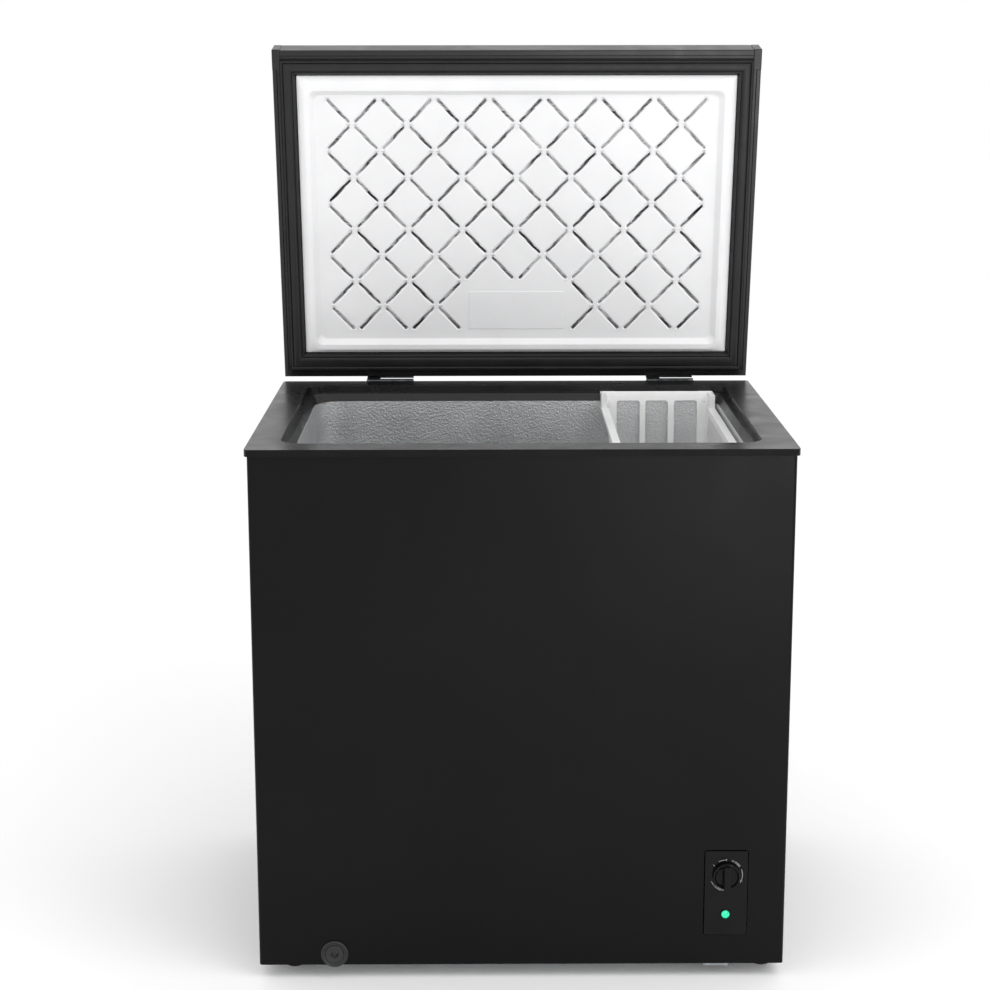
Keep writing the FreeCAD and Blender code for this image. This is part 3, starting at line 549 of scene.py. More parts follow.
    def hand_over(
        self, body: Body, slot: Slot, nodes: Sequence[str] = (), angle: float = 32.0
    ) -> bpy.types.Object:
        """Smooths the finished piece and hangs it on its body.

        Args:
            body: the body that it moves with.
            slot: the record's slot for its finish; not used.
            nodes: the CAD nodes that it stands for.
            angle: the turn, in degrees, above which an edge stays crisp.

        Returns:
            The finished object.
        """
        select_only(self.item)
        bpy.ops.object.shade_smooth_by_angle(angle=math.radians(angle))
        self._modify("WEIGHTED_NORMAL", keep_sharp=True)
        level = self.item.data.attributes.get("level")
        if level is not None:
            self.item.data.attributes.remove(level)
        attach(self.item, body.value)
        if nodes:
            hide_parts(*nodes)
        LOG.info("%s: %d faces", self.item.name, len(self.item.data.polygons))
        return self.item


# ---------------------------------------------------------------------------------------------
# Finishes
# ---------------------------------------------------------------------------------------------


def linear(colour: str) -> tuple[float, float, float, float]:
    """Turns an sRGB hex colour into linear values.

    Args:
        colour: six hex digits after a hash sign.

    Returns:
        Red, green, blue and an alpha of one.
    """
    values = [int(colour[start : start + 2], 16) / 255 for start in (1, 3, 5)]
    red, green, blue = (v / 12.92 if v <= 0.04045 else ((v + 0.055) / 1.055) ** 2.4 for v in values)
    return red, green, blue, 1.0


def add_node(
    tree: bpy.types.NodeTree, kind: str, settings: dict[str, object], links: dict[str, object]
) -> bpy.types.Node:
    """Adds one node with its settings and its incoming links.

    Args:
        tree: the material's node tree.
        kind: the node's type.
        settings: values, by the name of an input or, failing that, of a property.
        links: the outputs that feed its inputs, by the input's name.

    Returns:
        The node.
    """
    node = tree.nodes.new(kind)
    for key, value in settings.items():
        if hasattr(node, key):
            setattr(node, key, value)
        else:
            node.inputs[key].default_value = value
    for key, output in links.items():
        tree.links.new(output, node.inputs[key])
    return node


# A height pattern from nought to one, and the real depth of its relief in millimetres.
Relief = tuple[bpy.types.NodeSocket, float]


@dataclass(frozen=True)
class Finish:
    """What every finish has: a name, two close colours, a roughness and a spread of it."""

    name: str
    colour: str
    other: str
    roughness: float = 0.4
    spread: float = 0.08
    patch_mm: float = 60.0

    def make(self) -> bpy.types.Material:
        """Makes the material.

        Returns:
            The material, with its node tree.
        """
        material = bpy.data.materials.new(self.name)
        material.use_nodes = True
        tree = material.node_tree
        shader = tree.nodes["Principled BSDF"]
        place = add_node(tree, "ShaderNodeTexCoord", {}, {}).outputs["Object"]
        self.colour_and_gloss(tree, shader, place)
        relief = self.surface(tree, shader, place)
        if relief is not None:
            height, depth_mm = relief
            bump = add_node(
                tree, "ShaderNodeBump", {"Distance": depth_mm * MM}, {"Height": height}
            )
            tree.links.new(bump.outputs["Normal"], shader.inputs["Normal"])
        return material

    def colour_and_gloss(
        self, tree: bpy.types.NodeTree, shader: bpy.types.Node, place: bpy.types.NodeSocket
    ) -> None:
        """Lays soft patches of a second shade and of handling marks over the surface.

        Args:
            tree: the material's node tree.
            shader: its surface shader.
            place: the object coordinates.
        """
        patches = add_node(
            tree,
            "ShaderNodeTexNoise",
            {"Scale": 1 / (self.patch_mm * MM), "Detail": 4.0, "Roughness": 0.6},
            {"Vector": place},
        )
        shades = add_node(tree, "ShaderNodeValToRGB", {}, {"Fac": patches.outputs["Fac"]})
        shades.color_ramp.elements[0].position = 0.35
        shades.color_ramp.elements[0].color = linear(self.colour)
        shades.color_ramp.elements[1].position = 0.65
        shades.color_ramp.elements[1].color = linear(self.other)
        tree.links.new(shades.outputs["Color"], shader.inputs["Base Color"])
        smears = add_node(
            tree,
            "ShaderNodeTexNoise",
            {"Scale": 2.3 / (self.patch_mm * MM), "Detail": 5.0, "Distortion": 0.8},
            {"Vector": place},
        )
        gloss = add_node(
            tree,
            "ShaderNodeMapRange",
            {"From Min": 0.3, "From Max": 0.7},
            {"Value": smears.outputs["Fac"]},
        )
        gloss.inputs["To Min"].default_value = self.roughness - self.spread / 2
        gloss.inputs["To Max"].default_value = self.roughness + self.spread / 2
        tree.links.new(gloss.outputs["Result"], shader.inputs["Roughness"])

    def surface(
        self, tree: bpy.types.NodeTree, shader: bpy.types.Node, place: bpy.types.NodeSocket
    ) -> Relief | None:
        """Adds what makes this finish itself; the plain one adds nothing."""
        return None


@dataclass(frozen=True)
class SatinEnamel(Finish):
    """Polyester powder enamel on sheet steel: black, satin, with a faint orange peel."""

    specular: float = 0.5
    peel_mm: float = 1.6
    peel_depth_mm: float = 0.012

    def surface(
        self, tree: bpy.types.NodeTree, shader: bpy.types.Node, place: bpy.types.NodeSocket
    ) -> Relief:
        """Adds the slow waviness that sprayed enamel keeps.

        Args:
            tree: the material's node tree.
            shader: its surface shader.
            place: the object coordinates.

        Returns:
            The height that the relief follows, and its depth in millimetres.
        """
        shader.inputs["Specular IOR Level"].default_value = self.specular
        peel = add_node(
            tree,
            "ShaderNodeTexNoise",
            {"Scale": 1 / (self.peel_mm * MM), "Detail": 1.5},
            {"Vector": place},
        )
        return peel.outputs["Fac"], self.peel_depth_mm


@dataclass(frozen=True)
class MouldedPlastic(Finish):
    """Injection-moulded or vacuum-formed plastic with a fine spark-eroded grain."""

    specular: float = 0.5
    grain_mm: float = 0.9
    grain_depth_mm: float = 0.02
    bleed_mm: float = 0.0

    def surface(
        self, tree: bpy.types.NodeTree, shader: bpy.types.Node, place: bpy.types.NodeSocket
    ) -> Relief:
        """Adds the grain of the mould, and for pale plastic a little light within.

        Args:
            tree: the material's node tree.
            shader: its surface shader.
            place: the object coordinates.

        Returns:
            The height that the relief follows, and its depth in millimetres.
        """
        shader.inputs["Specular IOR Level"].default_value = self.specular
        if self.bleed_mm > 0:
            shader.inputs["Subsurface Weight"].default_value = 0.15
            shader.inputs["Subsurface Radius"].default_value = (1.0, 0.95, 0.9)
            shader.inputs["Subsurface Scale"].default_value = self.bleed_mm * MM
        fine = add_node(
            tree,
            "ShaderNodeTexNoise",
            {"Scale": 1 / (self.grain_mm * MM), "Detail": 2.0, "Roughness": 0.55},
            {"Vector": place},
        )
        return fine.outputs["Fac"], self.grain_depth_mm


@dataclass(frozen=True)
class Galvanised(Finish):
    """Hot-dip galvanised sheet: grey zinc crystals, each with its own shade and gloss."""

    crystal_mm: float = 11.0
    spangle_depth_mm: float = 0.02

    def surface(
        self, tree: bpy.types.NodeTree, shader: bpy.types.Node, place: bpy.types.NodeSocket
    ) -> Relief:
        """Adds the spangle of the zinc.

        Args:
            tree: the material's node tree.
            shader: its surface shader.
            place: the object coordinates.

        Returns:
            The height that the relief follows, and its depth in millimetres.
        """
        shader.inputs["Metallic"].default_value = 1.0
        wobble = add_node(
            tree, "ShaderNodeTexNoise", {"Scale": 1.5 / (self.crystal_mm * MM)}, {"Vector": place}
        )
        shifted = add_node(
            tree,
            "ShaderNodeMix",
            {"data_type": "VECTOR", "Factor": 0.02},
            {"A": place},
        )
        tree.links.new(place, shifted.inputs[4])
        tree.links.new(wobble.outputs["Color"], shifted.inputs[5])
        cells = add_node(
            tree,
            "ShaderNodeTexVoronoi",
            {"Scale": 1 / (self.crystal_mm * MM)},
            {"Vector": shifted.outputs[1]},
        )
        shades = add_node(tree, "ShaderNodeValToRGB", {}, {"Fac": cells.outputs["Color"]})
        shades.color_ramp.elements[0].color = linear(self.colour)
        shades.color_ramp.elements[1].color = linear(self.other)
        tree.links.new(shades.outputs["Color"], shader.inputs["Base Color"])
        return cells.outputs["Distance"], self.spangle_depth_mm


@dataclass(frozen=True)
class StuccoAluminium(Finish):
    """Stucco-embossed aluminium sheet: bright metal pressed with a small random pebble."""

    pebble_mm: float = 3.2
    relief_mm: float = 0.45

    def surface(
        self, tree: bpy.types.NodeTree, shader: bpy.types.Node, place: bpy.types.NodeSocket
    ) -> Relief:
        """Adds the pebbles, drawn a little coarse so that they show from across a room.

        Args:
            tree: the material's node tree.
            shader: its surface shader.
            place: the object coordinates.

        Returns:
            The height that the relief follows, and its depth in millimetres.
        """
        shader.inputs["Metallic"].default_value = 1.0
        cells = add_node(
            tree,
            "ShaderNodeTexVoronoi",
            {"feature": "SMOOTH_F1", "Scale": 1 / (self.pebble_mm * MM), "Smoothness": 0.6},
            {"Vector": place},
        )
        wrinkles = add_node(
            tree,
            "ShaderNodeTexNoise",
            {"Scale": 1.7 / (self.pebble_mm * MM), "Detail": 2.0, "Distortion": 0.6},
            {"Vector": place},
        )
        relief = add_node(
            tree,
            "ShaderNodeMath",
            {"operation": "ADD"},
            {"Value": cells.outputs["Distance"]},
        )
        tree.links.new(wrinkles.outputs["Fac"], relief.inputs[1])
        return relief.outputs["Value"], self.relief_mm


@dataclass(frozen=True)
class Metal(Finish):
    """Drawn, plated or pressed metal with fine scratches and a little tarnish."""

    scratch_mm: float = 0.6
    scratch_depth_mm: float = 0.01

    def surface(
        self, tree: bpy.types.NodeTree, shader: bpy.types.Node, place: bpy.types.NodeSocket
    ) -> Relief:
        """Adds short scratches that run along x.

        Args:
            tree: the material's node tree.
            shader: its surface shader.
            place: the object coordinates.

        Returns:
            The height that the relief follows, and its depth in millimetres.
        """
        shader.inputs["Metallic"].default_value = 1.0
        drawn = add_node(
            tree,
            "ShaderNodeMapping",
            {"Scale": (0.12, 1.0, 1.0)},
            {"Vector": place},
        )
        scratches = add_node(
            tree,
            "ShaderNodeTexNoise",
            {"Scale": 1 / (self.scratch_mm * MM), "Detail": 3.0},
            {"Vector": drawn.outputs["Vector"]},
        )
        return scratches.outputs["Fac"], self.scratch_depth_mm


@dataclass(frozen=True)
class RigidFoam(Finish):
    """Poured polyurethane foam: pale straw, with small open cells where it was trimmed."""

    cell_mm: float = 1.4
    cell_depth_mm: float = 0.4

    def surface(
        self, tree: bpy.types.NodeTree, shader: bpy.types.Node, place: bpy.types.NodeSocket
    ) -> Relief:
        """Adds the cells.

        Args:
            tree: the material's node tree.
            shader: its surface shader; not used.
            place: the object coordinates.

        Returns:
            The height that the relief follows, and its depth in millimetres.
        """
        cells = add_node(
            tree,
            "ShaderNodeTexVoronoi",
            {"Scale": 1 / (self.cell_mm * MM)},
            {"Vector": place},
        )
        return cells.outputs["Distance"], self.cell_depth_mm


@dataclass(frozen=True)
class LampLens(Finish):
    """Green tinted acrylic lens over a small lit lamp."""

    glow: float = 0.6
    prism_mm: float = 1.1
    prism_depth_mm: float = 0.1

    def surface(
        self, tree: bpy.types.NodeTree, shader: bpy.types.Node, place: bpy.types.NodeSocket
    ) -> Relief:
        """Adds the lamp's light and the tiny prisms inside the lens.

        Args:
            tree: the material's node tree.
            shader: its surface shader.
            place: the object coordinates.

        Returns:
            The height that the relief follows, and its depth in millimetres.
        """
        shader.inputs["Coat Weight"].default_value = 0.6
        shader.inputs["Coat Roughness"].default_value = 0.05
        shader.inputs["Emission Color"].default_value = linear(self.other)
        shader.inputs["Emission Strength"].default_value = self.glow
        prisms = add_node(
            tree, "ShaderNodeTexVoronoi", {"Scale": 1 / (self.prism_mm * MM)}, {"Vector": place}
        )
        return prisms.outputs["Distance"], self.prism_depth_mm


class Finishes:
    """All the materials of the freezer, each made once."""

    def __init__(self) -> None:
        """Makes every material."""
        # Powder enamel on the wrap: nearly black, satin, so that it shows broad soft reflections.
        self.enamel = SatinEnamel(
            "satin_black_powder_enamel", "#090909", "#0C0C0C", 0.32, 0.08, 260.0, specular=0.12
        ).make()
        # Enamel on the lid's pressed top, a little glossier than the wrap.
        self.lid_enamel = SatinEnamel(
            "satin_black_lid_enamel", "#1C1C1D", "#212122", 0.30, 0.10, 220.0, specular=0.6
        ).make()
        # Moulded ABS of rim and lid frame: soft black that turns grey at a low angle.
        self.abs_black = MouldedPlastic(
            "moulded_black_abs", "#131314", "#171718", 0.30, 0.10, 120.0, specular=0.42
        ).make()
        # The rim's outer sides: a matt copy of the rim's plastic, painted darker as shade on the sides
        # beside the lit top.
        self.abs_side_painted_shade = MouldedPlastic(
            "black_abs_painted_side_shade", "#0F0F10", "#131314", 0.50, 0.10, 60.0, specular=0.1
        ).make()
        # Polypropylene of small technical parts: duller black.
        self.technical = MouldedPlastic(
            "black_polypropylene", "#171718", "#1D1D1E", 0.46, 0.12, 25.0
        ).make()
        # Polished ABS of panel and knob: deep black with a clean reflection.
        self.gloss = MouldedPlastic(
            "polished_black_abs", "#0A0A0B", "#0E0E0F", 0.20, 0.08, 30.0,
            specular=0.16, grain_depth_mm=0.004,
        ).make()
        # Vacuum-formed polystyrene of the lid's liner: clean white, soft shine.
        self.liner_white = MouldedPlastic(
            "vacuum_formed_white_polystyrene", "#E9E9EA", "#EDEDEE", 0.36, 0.12, 90.0,
            grain_mm=1.3, grain_depth_mm=0.015, bleed_mm=2.0,
        ).make()
        # Moulded polypropylene of the basket: white and a little see-through.
        self.basket_white = MouldedPlastic(
            "moulded_white_polypropylene", "#E0E0DF", "#E6E6E6", 0.40, 0.10, 40.0, bleed_mm=4.0
        ).make()
        # Soft PVC of the lid's seal: dark grey, waxy.
        self.gasket = MouldedPlastic(
            "soft_pvc_seal", "#1A1A1B", "#202021", 0.40, 0.12, 45.0,
            specular=0.3, grain_depth_mm=0.012,
        ).make()
        # Vulcanised rubber of grommet, hose and compressor feet: dull black.
        self.rubber = MouldedPlastic(
            "vulcanised_rubber", "#141414", "#1C1C1C", 0.68, 0.14, 12.0, grain_depth_mm=0.04
        ).make()
        self.galvanised = Galvanised(
            "hot_dip_galvanised_sheet", "#8F9396", "#B9BDC0", 0.45, 0.14, 70.0
        ).make()
        self.stucco = StuccoAluminium(
            "stucco_embossed_aluminium", "#CDCFD0", "#DBDCDD", 0.48, 0.12, 110.0
        ).make()
        self.foam = RigidFoam("rigid_polyurethane_foam", "#D9C98F", "#E6D9A8", 0.85, 0.1).make()
        # Extruded aluminium tube of the evaporator: matt and pale.
        self.coil = Metal("extruded_aluminium_tube", "#A9ACAE", "#C0C3C5", 0.42, 0.14, 30.0).make()
        # Drawn copper of the small refrigerant tubes: brown where it was brazed.
        self.copper = Metal("drawn_copper_tube", "#A9603F", "#C7825C", 0.32, 0.2, 18.0).make()
        # Zinc-plated screws and the lamp's ring: bright and slightly blue.
        self.screw = Metal("zinc_plated_steel", "#9EA3A8", "#BEC3C8", 0.34, 0.14, 9.0).make()
        # Black-passivated hinges: dark metal, worn silvery where they turn.
        self.hinge = Metal(
            "black_passivated_steel", "#3A3B3D", "#77797C", 0.36, 0.16, 14.0
        ).make()
        # Baked gloss enamel on the compressor's can.
        self.compressor = SatinEnamel(
            "baked_black_gloss_enamel", "#0C0C0D", "#121213", 0.18, 0.1, 40.0, peel_mm=3.0
        ).make()
        # Pad-printed grey ink of the dial.
        self.ink = MouldedPlastic(
            "grey_pad_printing_ink", "#8E8E8F", "#A2A2A3", 0.5, 0.1, 8.0
        ).make()
        self.lens = LampLens("green_acrylic_lens", "#0B7F63", "#12E0A0", 0.2, 0.06, 4.0).make()


# ---------------------------------------------------------------------------------------------
# Places
# ---------------------------------------------------------------------------------------------


@dataclass(frozen=True)
class Layout:
    """The few places that several sub-assemblies share, most of them read from the frame."""

    rim_low: Vector = field(default_factory=lambda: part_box("rim_frame")[0])
    rim_high: Vector = field(default_factory=lambda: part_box("rim_frame")[1])
    shell_low: Vector = field(default_factory=lambda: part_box("outer_shell")[0])
    shell_high: Vector = field(default_factory=lambda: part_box("outer_shell")[1])
    hinge_y: float = 0.235
    hinge_z: float = 0.7445
    open_angle: float = 80.0
    lid_gap: float = 0.010
    lid_rear: float = 0.231

    @property
    def middle_y(self) -> float:
        """The middle of the cabinet along y."""
        return (self.rim_low.y + self.rim_high.y) / 2

    @property
    def rim_top(self) -> float:
        """The top of the rim."""
        return self.rim_high.z

    @property
    def lid_place(self) -> Matrix:
        """From the lid's bench (x, distance from its rear edge, height towards the tank) to its
        place on the open freezer.

        Returns:
            The transform.
        """
        shut = Matrix.Translation((0.0, self.lid_rear, self.rim_top + self.lid_gap))
        hinge = Matrix.Translation((0.0, self.hinge_y, self.hinge_z))
        opened = hinge @ Matrix.Rotation(-math.radians(self.open_angle), 4, "X") @ hinge.inverted()
        return opened @ shut @ Matrix.Rotation(math.pi, 4, "X")

    def front_place(self, x: float, z: float, proud: float = 0.0) -> Matrix:
        """From a bench that looks up to a place on the front wall.

        Args:
            x: where the bench's origin comes to lie along x.
            z: the same along z.
            proud: how far it stands before the wall.

        Returns:
            The place.
        """
        origin = Matrix.Translation((x, self.shell_low.y - proud, z))
        return origin @ Matrix.Rotation(math.pi / 2, 4, "X")


# ---------------------------------------------------------------------------------------------
# Sub-assemblies
# ---------------------------------------------------------------------------------------------


@dataclass(frozen=True)
class Rim:
    """The moulded black frame round the mouth, with its collar down to the tank."""

    layout: Layout
    mouth_width: float = 0.645
    mouth_depth: float = 0.431
    mouth_corner: float = 0.028
    outer_corner: float = 0.006
    edge: float = 0.0095
    step: float = 0.011
    ledge: float = 0.008
    wall: float = 0.004
    taper: float = 0.0054
    tank_corner: float = 0.047
    lug_spans: tuple[tuple[float, float], ...] = ((0.061, 0.135), (0.258, 0.300))
    lug_reach: float = 0.0009
    rib_x: float = 0.303

    def build(self, finishes: Finishes) -> None:
        """Builds the rim and dresses it.

        Args:
            finishes: the materials.
        """
        place = self.layout
        top = place.rim_top
        bottom = place.rim_low.z
        y = place.middle_y
        width = place.rim_high.x - place.rim_low.x
        depth = place.rim_high.y - place.rim_low.y
        rim = Work.loft(
            "rim",
            [
                Ring(width, depth, top - self.edge, self.outer_corner, y),
                Ring(width, depth, top, self.outer_corner, y),
            ],
        )
        collar = Work.loft(
            "collar",
            [
                self._ring(self.wall, bottom),
                self._ring(self.wall, top - self.edge / 2),
            ],
        )
        rim.fuse(collar)
        step_level = top - self.step
        overshoot = self.edge
        upper = Work.loft(
            "upper_mouth", [self._ring(0.0, step_level), self._ring(0.0, top + overshoot)]
        )
        lower = Work.loft(
            "lower_mouth",
            [
                self._ring(-self.ledge - 2 * self.taper, bottom - self.step, self.tank_corner),
                self._ring(-self.ledge, step_level),
                self._ring(-self.ledge, step_level + MM),
            ],
        )
        rim.cut(upper)
        rim.cut(lower)
        rim.fuse(*self._lugs(step_level, bottom))
        rim.merge()
        rim.soften(0.0011, 3)
        rim.paint(finishes.abs_black)
        # The outer sides get the darker copy: painted shade, darker than the lit top.
        rim.paint_where(
            finishes.abs_side_painted_shade,
            lambda centre, normal: abs(normal.z) < 0.5
            and (abs(centre.x) > width / 2 - MM or abs(centre.y - y) > depth / 2 - MM),
        )
        rim.hand_over(Body.CABINET, Slot.BLACK_PLASTIC, ["rim_frame"])

    def _ring(self, grow: float, height: float, corner: float | None = None) -> Ring:
        """The mouth's outline at some height.

        Args:
            grow: how much larger it is than the mouth, on each side.
            height: its level.
            corner: the radius of its corners, if it isn't the mouth's own, grown alike.

        Returns:
            The ring.
        """
        return Ring(
            self.mouth_width + 2 * grow,
            self.mouth_depth + 2 * grow,
            height,
            self.mouth_corner + grow if corner is None else corner,
            self.layout.middle_y,
        )

    def _lugs(self, high: float, low: float) -> list[Work]:
        """The lugs that stand out of the lower wall, at the back and at the front.

        Args:
            high: the level of the tops of the lugs.
            low: the level of their feet.

        Returns:
            The lugs and ribs.
        """
        lugs = []
        inner = self.mouth_depth / 2 - self.ledge
        for side in (-1, 1):
            for near, far in self.lug_spans:
                for end in (-1, 1):
                    wall = self.layout.middle_y + end * inner
                    ys = sorted((wall + end * 2 * MM, wall - end * self.lug_reach))
                    xs = sorted((side * near, side * far))
                    lug = Work.block("lug", (xs[0], ys[0], low), (xs[1], ys[1], high - 3 * MM))
                    with lug.shaping():
                        lug.pick_faces(lambda centre, normal: normal.z < -0.9)
                        bpy.ops.transform.translate(value=(0, -end * self.taper, 0))
                    lugs.append(lug)
        for side in (-1, 1):
            for end in (-1, 1):
                wall = self.layout.middle_y + end * self.mouth_depth / 2
                ys = sorted((wall + end * MM, wall - end * 0.003))
                xs = (side * self.rib_x - 0.0016, side * self.rib_x + 0.0016)
                lugs.append(
                    Work.block("rib", (xs[0], ys[0], high - MM), (xs[1], ys[1], high + 8 * MM))
                )
        return lugs


@dataclass(frozen=True)
class Wrap:
    """The sheet-steel wrap: front and both sides in one bent sheet, open for panel and drain."""

    layout: Layout
    sheet: float = 0.0008
    corner: float = 0.005
    hem: float = 0.012
    panel_gap: float = 0.0011

    def build(self, finishes: Finishes, panel: "ControlPanel", drain: "Drain") -> None:
        """Builds the wrap and dresses it.

        Args:
            finishes: the materials.
            panel: the control panel that needs an opening.
            drain: the drain that needs an opening.
        """
        low, high = self.layout.shell_low, self.layout.shell_high
        rear = high.y - self.sheet
        wrap = Work.block("wrap", low, (high.x, rear, high.z))
        wrap.bevel_edges(
            lambda a, b: abs(a.z - b.z) > 0.1 and a.y < 0 and b.y < 0, self.corner, 10
        )
        with wrap.shaping():
            wrap.pick_faces(lambda centre, normal: normal.y > 0.9 or abs(normal.z) > 0.9)
            bpy.ops.mesh.delete(type="FACE")
        with wrap.shaping("EDGE"):
            wrap.pick_edges(lambda a, b: abs(a.z - low.z) < 1e-6 and abs(b.z - low.z) < 1e-6)
            share_x = 1 - self.hem / high.x
            share_y = 1 - self.hem / ((rear - low.y) / 2)
            middle = (0.0, (rear + low.y) / 2, low.z)
            bpy.ops.mesh.extrude_edges_move()
            bpy.ops.transform.resize(value=(share_x, share_y, 1), center_override=middle)
        wrap.thicken(self.sheet)
        wrap.cut(panel.opening(self.panel_gap), drain.opening())
        wrap.soften(0.0002, 2, 60.0)
        wrap.paint(finishes.enamel)
        wrap.hand_over(Body.CABINET, Slot.BLACK_ENAMEL, ["outer_shell"], 50.0)


@dataclass(frozen=True)
class ControlPanel:
    """The black panel low on the right, with the dial's print, the lamp and its bezel."""

    layout: Layout
    x: float = 0.280
    z: float = 0.1243
    width: float = 0.0586
    height: float = 0.1225
    proud: float = 0.0015
    corner: float = 0.0028
    back: float = -0.0040
    # How much smaller, how far down from the face, and how much off the corners' radius.
    bevel: tuple[tuple[float, float, float], ...] = (
        (0.0, 0.0008, 0.0), (0.0005, 0.0003, 0.0), (0.0016, 0.0, 0.0006), (0.0040, 0.0002, 0.0012)
    )
    seat_radius: float = 0.0193
    seat_depth: float = 0.0016
    knob_z: float = 0.1506
    dial_radius: float = 0.0222
    line: float = 0.0008
    print_sink: float = 0.00022
    lamp_z: float = 0.0934
    lamp_radius: float = 0.0074

    def opening(self, gap: float) -> Work:
        """The opening that the wrap has for the panel.

        Args:
            gap: the gap all round.

        Returns:
            A cutting tool.
        """
        y = self.layout.shell_low.y
        half_width, half_height = self.width / 2 + gap, self.height / 2 + gap
        tool = Work.block(
            "panel_opening",
            (self.x - half_width, y - 5 * MM, self.z - half_height),
            (self.x + half_width, y + 5 * MM, self.z + half_height),
        )
        return tool.bevel_edges(lambda a, b: abs(a.y - b.y) > MM, self.corner + gap, 6)

    def build(self, finishes: Finishes) -> None:
        """Builds the panel, its print and the lamp.

        Args:
            finishes: the materials.
        """
        self._plate(finishes)
        self._lamp(finishes)

    def _plate(self, finishes: Finishes) -> None:
        """The plate with a bevelled edge, a seat for the knob and the printed dial.

        Args:
            finishes: the materials.
        """
        rings = [
            Ring(self.width - less, self.height - less, self.proud - down, self.corner - sharper)
            for less, down, sharper in self.bevel
        ]
        rings.insert(0, Ring(self.width, self.height, self.back, self.corner))
        plate = Work.loft("control_panel_plate", rings)
        offset = self.knob_z - self.z
        seat = Work.rod(
            "seat", (0, offset, self.proud), self.seat_radius, self.seat_depth, Axis.Z, 64
        )
        plate.cut(seat)
        plate.paint(finishes.gloss)
        print_marks = self._dial(offset)
        print_marks.paint(finishes.ink)
        plate.join(print_marks)
        plate.place(self.layout.front_place(self.x, self.z))
        plate.hand_over(Body.CABINET, Slot.BLACK_GLOSS, ["control_panel"])

    def _dial(self, offset: float) -> Work:
        """The printed scale round the knob: thin arcs, two thick stretches and three ticks.

        Args:
            offset: how far the dial's centre is above the plate's.

        Returns:
            The print.
        """
        line = self.line
        # Clockwise from the top, in degrees: start, end, and the line's width.
        stretches = [
            (2, 32, line),
            (32, 44, 1.9 * line),
            (44, 56, 2.6 * line),
            (56, 68, 3.2 * line),
            (68, 112, line),
            (120, 211, line),
            (211, 223, 3.2 * line),
            (223, 235, 2.6 * line),
            (235, 247, 1.9 * line),
            (247, 312, line),
        ]
        marks = [self._arc(start, end, width) for start, end, width in stretches]
        marks += [self._arc(angle - 0.9, angle + 0.9, 4 * line) for angle in (2, 114, 312)]
        dial = marks[0].join(*marks[1:])
        dial.place(Matrix.Translation((0, offset, self.proud - self.print_sink)))
        return dial

    def _arc(self, start: float, end: float, width: float) -> Work:
        """One printed stretch, spun about the knob's centre.

        Args:
            start: where it starts, in degrees clockwise from the top.
            end: where it ends.
            width: the width of its line.

        Returns:
            The stretch.
        """
        inner, outer = self.dial_radius - width / 2, self.dial_radius + width / 2
        arc = Work.block("mark", (-0.00001, inner, 0.0), (0.00001, outer, 0.00012))
        with arc.shaping():
            arc.pick_faces(lambda centre, normal: normal.x < 0.9)
            bpy.ops.mesh.delete(type="FACE")
            bpy.ops.mesh.select_all(action="SELECT")
            bpy.ops.transform.translate(value=(-0.00001, 0, 0))
            steps = max(2, round((end - start) / 4))
            bpy.ops.mesh.spin(
                steps=steps, angle=math.radians(start - end), center=(0, 0, 0), axis=(0, 0, 1)
            )
        arc.item.data.transform(Matrix.Rotation(-math.radians(start), 4, "Z"))
        return arc.merge(0.000002)

    def _lamp(self, finishes: Finishes) -> None:
        """The lamp's bezel and its domed lens.

        Args:
            finishes: the materials.
        """
        radius = self.lamp_radius
        bezel = Work.rod("lamp_ring", (0, 0, 0), radius, 0.006, Axis.Z, 48)
        with bezel.shaping():
            bezel.pick_faces(lambda centre, normal: normal.z > 0.9)
            for thickness, depth in ((0.0009, 0.0004), (0.0009, -0.0006), (0.0006, -0.0012)):
                bpy.ops.mesh.inset(thickness=thickness, depth=depth)
        bezel.paint(finishes.gloss)
        bezel.place(self.layout.front_place(self.x, self.lamp_z, -0.0006))
        bezel.hand_over(Body.CABINET, Slot.BLACK_PLASTIC, ["lamp_bezel"])
        lens = Work.rod("lamp_dome", (0, 0, 0), radius - 0.0018, 0.004, Axis.Z, 48)
        with lens.shaping():
            lens.pick_faces(lambda centre, normal: normal.z > 0.9)
            for thickness, depth in ((0.0008, 0.0007), (0.0012, 0.0006), (0.0014, 0.0003)):
                bpy.ops.mesh.inset(thickness=thickness, depth=depth)
        lens.paint(finishes.lens)
        lens.place(self.layout.front_place(self.x, self.lamp_z, 0.0))
        lens.hand_over(Body.CABINET, Slot.LAMP, ["lamp_lens"])


